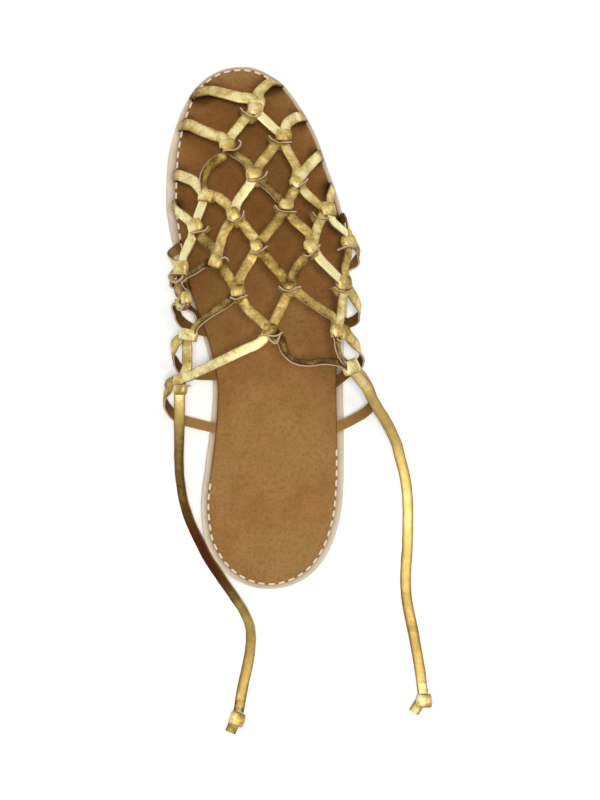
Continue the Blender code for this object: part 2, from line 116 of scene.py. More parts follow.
# The knots, in rows from the toe back. Letters run from the medial side.
KNOTS = {
    # name: (x, y)
    "1a": (-8.0, 227.5),
    "2a": (-22.0, 210.0), "2b": (4.0, 214.5),
    "3a": (-31.5, 187.0), "3b": (-9.0, 195.0), "3c": (11.5, 192.5),
    "4a": (-36.5, 170.5), "4b": (-19.0, 176.0), "4c": (4.5, 179.5), "4d": (24.0, 179.0),
    "5a": (-43.0, 152.0), "5b": (-27.5, 156.0), "5c": (-8.5, 158.5), "5d": (16.0, 159.5),
    "5e": (36.0, 163.5),
    "6a": (-42.5, 136.0), "6b": (-18.5, 138.0), "6c": (5.0, 140.5), "6d": (32.5, 144.5),
    "7a": (-40.5, 121.0), "7b": (-4.8, 122.0), "7c": (28.0, 121.0),
    "8a": (-45.5, 98.0), "8c": (34.2, 105.6),
}

# How each knot was pulled tight: its collar's middle beside the knot's place, the collar's
# width and height, its turn (anticlockwise, from above), its lit tone, the painted light and
# shade on its foil, and the side whose lower strap comes out over the rest.
KNOT_FORMS = {
    # name: (across, along, width, height, turn, tone, over)
    "1a": (-1.0, -2.3, 7.0, 6.2, -9, 1.05, 1),
    "2a": (-0.1, -2.2, 7.1, 5.5, 8, 1.10, -1),
    "2b": (-0.2, -1.6, 7.4, 5.6, 0, 1.10, 0),
    "3a": (0.0, -3.1, 7.7, 5.8, -10, 1.10, 1),
    "3b": (-1.2, -1.0, 7.4, 5.7, 3, 0.90, -1),
    "3c": (-2.5, -2.3, 5.8, 5.3, 25, 1.25, -1),
    "4a": (-0.3, -0.1, 7.0, 6.0, 15, 1.15, -1),
    "4b": (-0.8, -1.1, 6.0, 6.2, 22, 1.10, -1),
    "4c": (-0.3, -0.2, 6.4, 4.9, -8, 1.05, 0),
    "4d": (-0.3, -0.7, 7.8, 6.5, 0, 1.05, 1),
    "5a": (0.4, -0.7, 7.6, 6.1, 0, 1.10, 0),
    "5b": (0.0, -2.9, 6.4, 5.7, -20, 1.05, 0),
    "5c": (-1.2, 1.4, 5.2, 5.1, 20, 1.10, 0),
    "5d": (-0.9, 0.6, 6.4, 6.6, 20, 1.10, -1),
    "5e": (-3.0, 0.6, 8.2, 5.1, 10, 1.05, 0),
    "6a": (2.2, 1.0, 4.3, 5.7, 8, 1.20, 0),
    "6b": (0.3, 1.6, 6.3, 5.4, 6, 0.90, 0),
    "6c": (-0.2, 1.2, 5.6, 4.2, -5, 0.70, 1),
    "6d": (-2.2, -0.4, 8.0, 6.7, 0, 1.00, 0),
    "7a": (0.8, -1.1, 8.8, 5.3, -10, 1.20, 0),
    "7b": (0.4, -0.1, 6.2, 5.2, 0, 0.80, 0),
    "7c": (-1.9, 0.6, 5.6, 5.9, 4, 1.05, 0),
    "8a": (2.3, 1.6, 6.0, 4.6, 0, 1.05, 0),
    "8c": (-1.4, -0.2, 8.4, 6.3, 22, 1.20, 0),
}

# The lip that stands out under each collar, where the strap turns to go behind the knot: its
# upper edge, as (across, along) beside the knot's place. A skirt falls away from the collar,
# a fence stands up on edge, and a cup leans in, so that its inside shows.
LIPS = [
    # knot, kind, edge
    ("1a", "skirt", [(-8.1, -2.1), (-7.0, -3.6), (-5.6, -4.8), (-4.2, -5.9), (-2.8, -6.4),
                     (-1.4, -6.4), (0.0, -5.8), (1.2, -4.8)]),
    ("2a", "fence", [(-3.4, -5.7), (-1.1, -5.1), (1.2, -4.9), (3.0, -4.8), (4.5, -4.1),
                     (5.6, -2.7), (5.7, -1.5), (4.9, -0.6)]),
    ("2b", "skirt", [(-7.3, -2.3), (-6.2, -3.9), (-4.4, -5.1), (-2.5, -5.6), (-0.6, -5.6),
                     (1.3, -5.4), (3.2, -5.0)]),
    ("3b", "skirt", [(-4.6, -4.2), (-1.9, -4.7), (0.4, -4.1), (2.3, -3.2), (3.7, -1.8),
                     (4.4, 0.0)]),
    ("3c", "skirt", [(-5.5, -4.9), (-4.3, -5.3), (-2.9, -4.9), (-0.9, -3.6), (1.1, -2.0),
                     (2.6, -0.4)]),
    ("4a", "fence", [(-1.6, -3.7), (0.8, -3.3), (2.7, -2.9), (4.4, -2.7), (5.6, -2.0),
                     (6.3, -0.6)]),
    ("4b", "skirt", [(-3.4, -3.1), (-2.2, -3.9), (-0.6, -4.6), (1.0, -4.3), (2.6, -3.1),
                     (3.5, -1.5), (3.7, 0.3)]),
    ("4c", "skirt", [(-5.8, -0.6), (-4.6, -2.2), (-3.0, -3.2), (-0.9, -3.6), (1.8, -3.5),
                     (4.0, -3.4)]),
    ("4d", "skirt", [(-8.9, -2.8), (-8.1, -4.4), (-6.4, -5.5), (-4.4, -5.9), (-2.3, -5.4),
                     (-0.3, -4.8)]),
    ("5a", "cup", [(-5.7, -3.8), (-5.4, -5.5), (-3.3, -7.6), (-1.0, -8.4), (1.2, -7.7),
                   (2.7, -6.6), (3.3, -4.5)]),
    ("5b", "fence", [(1.4, -2.4), (3.0, -1.3), (4.5, -1.0), (5.9, -2.0)]),
    ("5c", "skirt", [(-4.2, -1.4), (-2.8, -1.8), (-1.0, -1.5), (0.8, -0.7), (2.1, 0.3),
                     (3.6, 1.5)]),
    ("5d", "skirt", [(-5.2, -3.1), (-3.6, -3.9), (-1.7, -3.2), (-0.2, -1.7), (1.2, -0.1),
                     (2.8, 1.7)]),
    ("5e", "fence", [(-8.8, -3.0), (-6.6, -2.4), (-4.0, -2.0), (-1.6, -1.8), (0.8, -1.1)]),
    ("6a", "cup", [(-3.0, 0.4), (-2.3, -2.5), (-0.8, -5.0), (0.7, -5.2), (2.1, -3.6),
                   (3.0, -2.4)]),
    ("6b", "skirt", [(-2.9, -1.3), (-0.8, -2.4), (1.0, -2.0), (3.0, -1.2), (4.7, -0.4)]),
    ("6c", "skirt", [(-5.1, 1.1), (-3.9, -0.1), (-2.3, -0.9), (-0.8, -1.0), (0.6, -0.5),
                     (2.4, 0.5), (4.8, 0.9)]),
    ("6d", "skirt", [(-8.4, -2.5), (-7.1, -3.7), (-5.0, -4.5), (-2.9, -4.7), (-0.8, -4.2),
                     (1.5, -3.1)]),
    ("5a", "fence", [(-5.5, -3.9), (-3.8, -3.3), (-0.9, -3.3), (2.6, -3.5), (5.3, -3.6)]),
    ("7b", "cup", [(-1.2, -2.9), (-0.3, -4.6), (1.1, -6.2), (2.6, -7.0), (3.8, -6.7),
                   (4.7, -4.6), (5.5, -1.7)]),
    ("7b", "fence", [(-3.8, -2.5), (-1.8, -2.4), (0.4, -2.8), (2.7, -2.9), (4.5, -2.3),
                     (5.9, -1.2)]),
    ("7c", "cup", [(-3.0, -3.0), (-2.0, -4.2), (-0.6, -4.6), (1.0, -3.8), (1.9, -2.0),
                   (1.7, 0.0), (1.1, 1.2)]),
    ("8a", "fence", [(-0.1, 0.1), (1.8, -1.0), (3.1, -1.2), (5.2, -0.9), (6.8, -0.6)]),
]
SECOND_TURNS = [
    # knot, across, along, width, height, how much narrower it is at its back edge
    ("8a", 3.4, -3.0, 7.6, 4.4, 0.3),
]
# The side of a cup whose inside shows, -1 medial or 1 lateral.
CUP_SIDES = {"5a": 1, "6a": -1, "7b": 1, "7c": 1}
# Painted light and shade on each kind of lip's foil.
LIP_LIT_TONES = {"skirt": 0.80, "fence": 0.85, "cup": 1.20}
LIP_FORMS = {
    # kind: (height of its edge, then (away from the collar, down) at each quarter of it)
    "skirt": (3.7, [(0.0, 0.0), (0.45, 1.05), (1.30, 1.85), (2.25, 2.45), (3.10, 2.95)]),
    "fence": (3.5, [(0.0, 0.0), (0.03, 1.05), (0.08, 2.10), (0.12, 3.15), (0.16, 4.15)]),
    "cup": (3.4, [(0.0, 0.0), (-0.60, 0.85), (-1.25, 1.60), (-1.85, 2.40), (-2.35, 3.20)]),
}

# The straps between two knots, from the toe back. Bow is to the lateral side, a positive
# roll faces the grain to the medial side, and peak is where on the strap both are greatest.
# tone is the painted light and shade on a strap's foil.
NET = {
    # (from, to): (bow, lift, roll, peak, tone)
    ("1a", "2a"): (0.0, 0.3, 0, 0.5, 1.10),
    ("1a", "2b"): (0.2, 0.3, 0, 0.5, 1.40),
    ("2a", "3a"): (0.0, 1.0, -70, 0.75, 0.70),
    ("2a", "3b"): (-0.8, 0.3, -28, 0.4, 0.80),
    ("2b", "3b"): (0.0, 0.3, 0, 0.5, 0.90),
    ("2b", "3c"): (0.8, 0.4, 0, 0.6, 1.05),
    ("3a", "4a"): (0.0, 0.3, 0, 0.5, 1.40),
    ("3a", "4b"): (0.8, 0.3, -12, 0.5, 1.00),
    ("3b", "4b"): (0.0, 0.4, 0, 0.5, 1.25),
    ("3b", "4c"): (0.0, 0.3, -24, 0.5, 0.70),
    ("3c", "4c"): (0.6, 0.4, 10, 0.6, 0.80),
    ("3c", "4d"): (0.0, 0.3, 0, 0.5, 1.10),
    ("4a", "5a"): (0.0, 0.3, -16, 0.5, 1.30),
    ("4a", "5b"): (0.3, 0.2, -25, 0.5, 0.75),
    ("4b", "5b"): (-0.6, 0.3, 0, 0.5, 1.00),
    ("4b", "5c"): (0.7, 0.3, 0, 0.5, 1.00),
    ("4c", "5c"): (0.0, 0.3, 0, 0.5, 0.75),
    ("4c", "5d"): (0.3, 0.3, 0, 0.5, 0.90),
    ("4d", "5d"): (0.5, 0.3, 0, 0.5, 1.00),
    ("4d", "5e"): (0.4, 0.4, 0, 0.4, 1.40),
    ("5a", "6a"): (0.0, 0.2, 0, 0.5, 0.75),
    ("5b", "6a"): (0.0, 0.8, 36, 0.6, 0.55),
    ("5b", "6b"): (0.2, 0.2, 0, 0.5, 0.90),
    ("5c", "6b"): (-0.4, 0.3, 0, 0.5, 1.00),
    ("5c", "6c"): (0.3, 0.3, 0, 0.5, 0.75),
    ("5d", "6c"): (-1.4, 0.4, 0, 0.5, 0.70),
    ("5d", "6d"): (0.2, 0.4, 0, 0.5, 1.40),
    ("5e", "6d"): (-0.6, 0.3, 0, 0.4, 0.90),
    ("6a", "7a"): (0.0, 1.4, 40, 0.5, 0.50),
    ("6b", "7a"): (0.0, 0.3, 26, 0.5, 0.65),
    ("6b", "7b"): (-1.4, 0.2, -14, 0.6, 1.00),
    ("6c", "7b"): (0.3, 0.3, 0, 0.5, 0.85),
    ("6c", "7c"): (0.2, 0.3, -12, 0.5, 0.80),
    ("6d", "7c"): (0.0, 0.2, 0, 0.5, 1.05),
    ("7a", "8a"): (0.3, 0.0, -30, 0.5, 1.00),
    ("7b", "8a"): (0.0, 0.4, 0, 0.5, 1.20),
    ("7b", "8c"): (0.0, 1.0, -54, 0.5, 0.50),
    ("7c", "8c"): (0.0, 0.8, -30, 0.6, 0.60),
}

# Straps that leave a knot or come into the next one further to one side.
ASIDE = {
    ("2a", "3a"): (-2.0, -0.6),
    ("5b", "6a"): (-1.6, 0.2),
    ("6a", "7a"): (2.0, 3.0),
    ("6b", "7a"): (-1.5, 3.4),
    ("7b", "8c"): (3.4, -2.6),
    ("7c", "8c"): (-1.0, -2.0),
}

# The way each strap takes: places on the last that it passes, or points off it with their z.
WAYS = {
    ("1a", "2a"): [(-14.1, 220.0), (-17.2, 215.8), (-20.1, 212.0)],
    ("1a", "2b"): [(-7.1, 222.2), (-3.4, 218.7), (0.2, 215.2)],
    ("2a", "3a"): [(-24.3, 202.7), (-28.5, 199.5), (-32.4, 194.9), (-33.3, 191.9)],
    ("2a", "3b"): [(-19.3, 203.5), (-16.5, 201.5), (-13.8, 199.3)],
    ("2b", "3b"): [(-1.8, 205.9), (-4.9, 201.6), (-7.8, 197.8)],
    ("2b", "3c"): [(4.5, 207.3), (7.2, 202.0), (9.4, 197.0)],
    ("3a", "4a"): [(-33.2, 180.9), (-34.6, 176.8), (-35.9, 173.1)],
    ("3a", "4b"): [(-27.9, 183.5), (-24.1, 180.8), (-21.7, 178.4)],
    ("3b", "4b"): [(-11.5, 190.0), (-15.0, 184.8), (-17.9, 180.3)],
    ("3b", "4c"): [(-5.8, 189.0), (-2.2, 185.4), (1.0, 181.9)],
    ("3c", "4c"): [(8.3, 186.6), (6.1, 182.7)],
    ("3c", "4d"): [(13.3, 185.4), (16.5, 182.6), (19.3, 180.2)],
    ("4a", "5a"): [(-38.2, 164.6), (-39.9, 160.8), (-41.5, 157.4)],
    ("4a", "5b"): [(-33.7, 163.9), (-31.0, 161.5), (-29.0, 159.2)],
    ("4b", "5b"): [(-21.4, 170.8), (-24.3, 165.8), (-25.7, 160.7)],
    ("4b", "5c"): [(-15.2, 169.9), (-12.9, 166.4), (-10.4, 162.9)],
    ("4c", "5c"): [(0.5, 172.3), (-4.0, 166.8), (-7.3, 162.6)],
    ("4c", "5d"): [(6.7, 173.2), (10.4, 169.5), (14.0, 166.3)],
    ("4d", "5d"): [(19.7, 172.7), (18.1, 168.8), (17.1, 165.5)],
    ("4d", "5e"): [(25.4, 173.3), (29.5, 169.6), (33.0, 166.3)],
    ("5a", "6a"): [(-43.9, 145.3, 22.5), (-44.7, 142.6, 22.5)],
    ("5b", "6a"): [(-32.0, 152.1), (-35.6, 149.5), (-39.9, 147.0), (-42.6, 144.2)],
    ("5b", "6b"): [(-25.5, 151.2), (-23.1, 147.4), (-20.9, 144.1)],
    ("5c", "6b"): [(-12.1, 154.1), (-15.3, 148.8), (-17.2, 144.7)],
    ("5c", "6c"): [(-5.3, 154.6), (-1.3, 149.7), (2.2, 145.1)],
    ("5d", "6c"): [(11.8, 154.6), (8.5, 150.4), (6.5, 146.2)],
    ("5d", "6d"): [(18.9, 154.6), (22.9, 150.5), (26.9, 146.8)],
    ("5e", "6d"): [(33.4, 159.1), (32.2, 154.8), (31.0, 150.5)],
    ("6a", "7a"): [(-40.8, 134.1, 25.0), (-39.1, 132.5, 25.8), (-37.0, 130.9, 27.0),
                   (-35.8, 128.8, 28.4), (-35.6, 126.7, 29.8), (-36.4, 124.6, 31.2)],
    ("6b", "7a"): [(-22.4, 134.4), (-27.3, 130.9), (-32.2, 127.6), (-35.8, 124.5)],
    ("6b", "7b"): [(-15.5, 133.5), (-13.1, 130.0), (-9.1, 126.6)],
    ("6c", "7b"): [(2.5, 135.2), (0.1, 130.0), (-2.4, 125.0)],
    ("6c", "7c"): [(9.4, 137.8), (14.4, 134.4), (20.6, 130.4), (25.6, 126.9)],
    ("6d", "7c"): [(29.8, 139.0), (29.0, 134.3), (28.3, 129.2)],
    ("7a", "8a"): [(-40.8, 116.2), (-40.8, 110.2), (-41.0, 104.7)],
    ("7b", "8a"): [(-7.9, 116.9), (-15.9, 112.6), (-24.8, 108.2), (-33.7, 103.9), (-39.0, 101.3)],
    ("7b", "8c"): [(0.8, 115.7), (1.1, 114.1), (1.8, 111.9), (3.2, 109.9), (4.9, 108.2),
                   (7.3, 107.1), (9.9, 106.6), (12.4, 106.4), (15.0, 106.6), (17.9, 107.1),
                   (21.0, 107.3), (24.0, 107.2), (26.3, 106.8)],
    ("7c", "8c"): [(26.0, 116.8), (26.0, 114.4), (26.5, 111.8), (27.5, 109.4)],
}

# Straps that run forward and down from a knot, and fold over the rim into the sole.
FOLDED = [
    # knot, side (-1 medial, 1 lateral), y at the sole's edge, how much wider than the net's
    # straps, tone (painted light and shade on its foil), places from the knot out
    ("1a", -1, 234.9, 1.20, 1.10, [(-16.8, 230.8), (-22.5, 232.4), (-30.0, 234.2)]),
    ("1a", 1, 240.6, 1.08, 1.10, [(-7.5, 232.4), (-4.7, 236.0), (-1.2, 238.8)]),
    ("2a", -1, 220.2, 1.14, 1.10, [(-28.0, 212.4), (-32.6, 214.6), (-38.2, 217.9)]),
    ("2b", 1, 225.0, 1.06, 1.20, [(5.0, 217.6), (8.8, 221.3)]),
    ("3a", -1, 196.0, 1.06, 1.20, [(-36.9, 190.8), (-41.3, 193.5)]),
    ("3c", 1, 206.8, 1.06, 1.20, [(13.7, 196.8), (17.3, 201.2)]),
    ("4a", -1, 181.6, 1.00, 1.15, [(-40.9, 174.7), (-44.1, 177.7)]),
    ("4d", 1, 191.8, 1.00, 1.10, [(24.9, 184.0), (26.4, 187.8)]),
    ("5a", -1, 161.5, 1.00, 1.00, [(-46.1, 154.4, 15.0), (-48.0, 158.0, 11.0)]),
    ("5e", 1, 176.0, 1.00, 1.05, []),
]

# Straps that leave the back of a knot, hang out beside the foot and come in under it. Lean
# is how far the grain tips outward: 0 is up, 90 is on edge and 180 is flesh side up.
# tone is painted light and shade, on the flesh side as well as on the foil.
LOOPED = [
    # knot, side, y at the sole's edge, [(x, y, z, lean, tone) from the knot to the rim]
    ("5a", -1, 143.5, [(-47.5, 147.2, 15.0, 70, 0.70), (-46.9, 144.6, 9.5, 120, 0.50)]),
    ("5e", 1, 153.5, [(38.4, 161.6, 19.0, 40, 0.80), (40.0, 159.0, 14.0, 70, 0.80),
                      (38.9, 155.4, 9.2, 150, 0.70)]),
    ("6a", -1, 122.0, [(-45.9, 133.9, 21.0, 120, 0.50), (-44.9, 130.9, 15.5, 135, 0.50),
                       (-43.6, 128.2, 11.5, 150, 0.50), (-41.4, 125.9, 9.0, 165, 0.55),
                       (-38.1, 123.9, 7.6, 180, 0.60)]),
    ("6d", 1, 127.5, [(34.3, 140.3, 30.0, 18, 0.95), (35.9, 138.0, 28.0, 22, 1.00),
                      (37.9, 135.4, 25.0, 30, 1.00), (39.6, 133.0, 20.5, 55, 1.00),
                      (40.0, 130.6, 15.5, 92, 0.80), (38.9, 128.3, 11.0, 150, 0.50),
                      (36.4, 126.9, 8.6, 176, 0.50)]),
    ("7a", -1, 101.5, [(-45.6, 116.6, 29.0, 25, 1.00), (-46.7, 113.9, 24.5, 55, 0.90),
                       (-46.9, 111.5, 20.0, 88, 0.80), (-45.8, 108.8, 15.0, 120, 0.40),
                       (-44.3, 106.0, 11.0, 140, 0.40), (-42.4, 104.1, 8.8, 160, 0.60),
                       (-37.1, 102.3, 7.0, 180, 0.70)]),
    ("7c", 1, 99.0, [(30.4, 122.3, 39.5, 10, 0.80), (32.0, 120.3, 37.5, 10, 0.85),
                     (33.8, 118.3, 35.0, 12, 0.90), (36.1, 116.2, 31.5, 20, 1.00),
                     (38.2, 114.3, 27.5, 42, 1.10), (40.1, 111.9, 22.0, 80, 1.00),
                     (41.0, 109.2, 16.5, 112, 0.40), (40.2, 106.7, 12.0, 150, 0.40),
                     (37.2, 104.1, 9.0, 175, 0.50)]),
    ("8a", -1, 77.0, [(-48.4, 97.9, 28.0, 25, 0.85), (-49.3, 94.9, 24.5, 45, 0.85),
                      (-50.6, 91.9, 20.5, 82, 0.80), (-50.3, 89.0, 16.5, 118, 0.50),
                      (-48.7, 85.9, 12.5, 142, 0.60), (-46.2, 83.1, 9.8, 160, 0.70),
                      (-41.9, 80.7, 8.0, 176, 0.95), (-36.2, 79.0, 7.0, 180, 1.05)]),
    ("8c", 1, 77.0, [(39.3, 103.0, 30.0, 60, 0.75), (42.6, 99.8, 26.0, 68, 0.75),
                     (45.6, 95.8, 21.0, 75, 0.70), (47.4, 91.8, 16.5, 95, 0.60),
                     (47.2, 88.0, 12.5, 150, 0.60), (44.2, 84.5, 10.0, 172, 0.75),
                     (38.8, 80.9, 8.0, 180, 0.90), (35.1, 79.0, 7.2, 180, 1.00)]),
]

# The ties: a point for each bend of the route, down from the knot and along the floor. Roll
# tips the strap's grain to the lateral side; tone is painted light, shade and reflection there.
TIES = {
    "tie_medial": [
        # x, y, z, roll, tone
        (-44.4, 97.0, 28.6, 0, 1.05), (-44.4, 93.0, 28.4, 0, 1.05),
        (-44.3, 86.5, 27.0, 6, 1.00),
        (-44.1, 78.0, 22.5, 20, 0.80), (-44.0, 69.5, 15.5, 30, 0.60),
        (-43.9, 61.0, 8.5, 36, 0.55), (-43.2, 52.5, 3.4, 38, 0.55),
        (-41.6, 42.5, 1.0, 34, 0.50), (-38.5, 32.5, 0.75, 28, 0.30),
        (-34.1, 23.0, 0.75, 26, 0.15), (-29.8, 14.5, 0.75, 24, 0.10),
        (-23.9, 5.6, 0.75, 26, 0.25), (-17.6, -3.5, 0.75, 30, 0.60),
        (-12.2, -12.2, 0.75, 34, 0.80), (-10.0, -18.4, 0.75, 32, 0.85),
        (-9.6, -24.2, 0.75, 24, 0.80), (-10.5, -32.5, 0.75, 14, 0.80),
        (-13.2, -45.4, 0.75, 8, 0.80), (-15.2, -55.6, 0.75, 0, 0.80),
    ],
    "tie_lateral": [
        (34.6, 104.1, 37.6, 0, 1.10), (37.0, 101.4, 35.6, 0, 1.10),
        (41.3, 97.2, 30.5, 0, 1.05),
        (45.5, 91.2, 23.0, 4, 0.90), (49.4, 86.0, 16.0, 6, 0.90),
        (53.8, 80.7, 9.8, 8, 0.90), (57.3, 75.1, 5.2, 8, 0.95),
        (60.3, 69.1, 2.6, 6, 0.95), (62.3, 62.0, 1.3, 6, 0.95),
        (64.4, 54.0, 0.85, 4, 0.95),
        (65.8, 44.0, 0.75, 4, 1.00), (66.1, 31.5, 0.75, 4, 1.00),
        (65.9, 20.5, 0.75, 6, 0.95), (65.3, 10.5, 0.75, 6, 0.90),
        (65.0, 3.5, 0.75, 4, 0.90), (65.3, -3.0, 0.75, 4, 0.80),
        (66.2, -9.8, 0.75, 6, 0.80), (67.6, -16.6, 0.75, 6, 0.80),
        (69.6, -26.9, 0.75, 4, 0.80), (71.8, -39.0, 0.75, 2, 0.90),
        (73.0, -48.2, 0.75, 0, 1.00),
    ],
}
TAIL_TURN = {"tie_medial": -12.0, "tie_lateral": -38.0}

# The row of stitches: where it runs, as two stretches of the insole's edge.
STITCHED = [
    # from (side, y) round the end to (side, y)
    ((-1, 52.0), (1, 68.0), "heel"),
    ((-1, 150.0), (1, 243.0), "toe"),
]

# A strap's cross-section, anticlockwise from its flesh side, looking back along it.
SECTION = [
    # share of half the width, share of the thickness, finish of the face to the next point
    (-0.90, 0.00, "flesh"),
    (0.90, 0.00, "cut"),
    (0.98, 0.30, "cut"),
    (1.00, 0.80, "grain"),
    (0.92, 0.98, "grain"),
    (0.50, 1.08, "grain"),
    (0.00, 1.12, "grain"),
    (-0.50, 1.08, "grain"),
    (-0.92, 0.98, "grain"),
    (-1.00, 0.80, "cut"),
    (-0.98, 0.30, "cut"),
]
FIRST_EDGE, LAST_EDGE = (1, 2), (9, 10)     # the faces of its two cut edges
FINISHES = ("grain", "cut", "flesh")


# ---------------------------------------------------------------- sizes and colours to set
class SandalSizes(bpy.types.PropertyGroup):
    strap_width: FloatProperty(
        name="Strap width", description="Width of the net's straps",
        default=0.0049, min=0.002, max=0.008, unit="LENGTH")
    strap_thickness: FloatProperty(
        name="Strap thickness", description="Thickness of the straps' leather",
        default=0.00095, min=0.0005, max=0.002, unit="LENGTH")
    tie_width: FloatProperty(
        name="Tie width", description="Width of the two ties",
        default=0.0051, min=0.002, max=0.008, unit="LENGTH")
    stitch_pitch: FloatProperty(
        name="Stitch pitch", description="Distance from one stitch to the next",
        default=0.00472, min=0.002, max=0.01, unit="LENGTH")
    stitch_length: FloatProperty(
        name="Stitch length", description="Length of the thread that shows in a stitch",
        default=0.0038, min=0.001, max=0.009, unit="LENGTH")
    stitch_width: FloatProperty(
        name="Stitch width", description="Width of the thread that shows",
        default=0.00105, min=0.0004, max=0.003, unit="LENGTH")


class SandalColours(bpy.types.PropertyGroup):
    gold: FloatVectorProperty(
        name="Gold", description="The foil's main colour",
        subtype="COLOR", default=(0.64, 0.44, 0.125), min=0.0, max=1.0)
    # Painted shade: the foil's colour where its lit tone is low and towards the straps' edges.
    gold_shaded: FloatVectorProperty(
        name="Deep gold", description="The foil where it is thin, at edges and on dull straps",
        subtype="COLOR", default=(0.13, 0.066, 0.004), min=0.0, max=1.0)
    # Painted highlight: the foil's colour where its lit tone is highest.
    gold_highlit: FloatVectorProperty(
        name="Pale gold", description="The foil where it is smoothest",
        subtype="COLOR", default=(1.0, 0.88, 0.45), min=0.0, max=1.0)
    gold_worn: FloatVectorProperty(
        name="Worn gold", description="The leather in the foil's fine cracks",
        subtype="COLOR", default=(0.24, 0.14, 0.02), min=0.0, max=1.0)
    cut_edge: FloatVectorProperty(
        name="Cut edge", description="The straps' raw edges",
        subtype="COLOR", default=(0.54, 0.37, 0.24), min=0.0, max=1.0)
    flesh: FloatVectorProperty(
        name="Flesh side", description="The straps' suede side",
        subtype="COLOR", default=(0.36, 0.195, 0.055), min=0.0, max=1.0)
    suede: FloatVectorProperty(
        name="Suede", description="The insole's main colour",
        subtype="COLOR", default=(0.30, 0.142, 0.040), min=0.0, max=1.0)
    sole: FloatVectorProperty(
        name="Sole leather", description="The outsole's natural leather",
        subtype="COLOR", default=(0.60, 0.48, 0.35), min=0.0, max=1.0)
    thread: FloatVectorProperty(
        name="Thread", description="The stitches' thread",
        subtype="COLOR", default=(0.74, 0.55, 0.38), min=0.0, max=1.0)
    floor: FloatVectorProperty(
        name="Floor", description="The plain floor under the sandal",
        subtype="COLOR", default=(0.94, 0.95, 0.96), min=0.0, max=1.0)


def sizes():
    """The sizes, in millimetres."""
    group = bpy.context.scene.sandal_sizes
    return {name: getattr(group, name) / MM for name in SandalSizes.__annotations__}


def colour(name):
    """A colour, with its alpha."""
    return (*getattr(bpy.context.scene.sandal_colours, name), 1.0)


# ---------------------------------------------------------------- the last and the sole
def at(x, y, z):
    """A point of the tables, in world metres."""
    return Vector((x, y - HEEL_REST, z)) * MM


def hermite(xs, values, x, loose=False):
    """The smooth curve through a column of values, at x. Only a loose one overshoots them."""
    last = len(xs) - 1
    i = max(0, min(last - 1, sum(1 for one in xs[1:-1] if one <= x)))

    def slope(k):
        steps = [(values[j + 1] - values[j]) / (xs[j + 1] - xs[j])
                 for j in (k - 1, k) if 0 <= j < last]
        if len(steps) == 1:
            return steps[0]
        before, after = steps
        if loose:
            share = (xs[k] - xs[k - 1]) / (xs[k + 1] - xs[k - 1])
            return before * (1 - share) + after * share
        return 2 * before * after / (before + after) if before * after > 0 else 0.0

    step = xs[i + 1] - xs[i]
    t = (x - xs[i]) / step
    return (
        (2 * t**3 - 3 * t**2 + 1) * values[i]
        + (t**3 - 2 * t**2 + t) * step * slope(i)
        + (3 * t**2 - 2 * t**3) * values[i + 1]
        + (t**3 - t**2) * step * slope(i + 1)
    )


def turn_of(y):
    """Where y lies between the heel and the toe, as an angle, so round ends stay round."""
    return math.acos(max(-1.0, min(1.0, 1.0 - 2.0 * y / LENGTH)))


def outline_point(turn, side):
    """A point of the outsole's edge."""
    x = hermite(OUTLINE_TURNS, [row[1 if side < 0 else 2] for row in OUTLINE], turn)
    return Vector((x, LENGTH / 2 * (1.0 - math.cos(turn)), 0.0))


def outline_inward(turn, side):
    """The way from a point of the outsole's edge to the inside."""
    step = 0.01
    along = outline_point(turn + step, side) - outline_point(turn - step, side)
    return Vector((along.y, -along.x, 0.0)).normalized() * -side


def rim_width(turn, side):
    """The width of the rim that shows outside the insole."""
    return hermite(OUTLINE_TURNS, [row[3 if side < 0 else 4] for row in OUTLINE], turn)


def edge_point(turn, side, rim, inset=0.0):
    """A point of the outsole's edge, or with rim 1 of the insole's edge, moved in by inset."""
    inward = outline_inward(turn, side)
    return outline_point(turn, side) + inward * (rim_width(turn, side) * rim + inset)


def lift(y):
    """How far the sole's underside is off the floor at y."""
    spring = max(0.0, y - SPRING_FROM) / (LENGTH - SPRING_FROM)
    low, high = ARCH_SPAN
    along = min(1.0, max(0.0, (y - low) / (high - low)))
    return TOE_SPRING * spring**2 + ARCH_RISE * math.sin(math.pi * along) ** 2


def last_column(y, column):
    """A column of the last's table, at y."""
    y = min(max(y, LAST[0][0]), LAST[-1][0])
    return hermite([row[0] for row in LAST], [row[column] for row in LAST], y)


def last_height(x, y):
    """The height of the last's surface over the floor: half an ellipse on each side."""
    medial, lateral, ridge, top, widest = (last_column(y, column) for column in range(1, 6))
    half = lateral - ridge if x > ridge else ridge - medial
    out = min(abs(x - ridge) / half, 0.995)
    return lift(y) + widest + (top - widest) * math.sqrt(1.0 - out**2)


def last_normal(x, y):
    """The last's outward normal."""
    step = 0.5
    across = (last_height(x + step, y) - last_height(x - step, y)) / (2 * step)
    along = (last_height(x, y + step) - last_height(x, y - step)) / (2 * step)
    return Vector((-across, -along, 1.0)).normalized()


def on_last(x, y, off=0.0):
    """A point that far off the last's surface, in millimetres."""
    return Vector((x, y, last_height(x, y))) + last_normal(x, y) * off


def reaches(points):
    """How far along a line of points each of them is."""
    out = [0.0]
    for one, two in zip(points, points[1:]):
        out.append(out[-1] + (Vector(two[:3]) - Vector(one[:3])).length)
    return out


def path_length(points):
    """The length of a line of points."""
    return reaches(points)[-1]


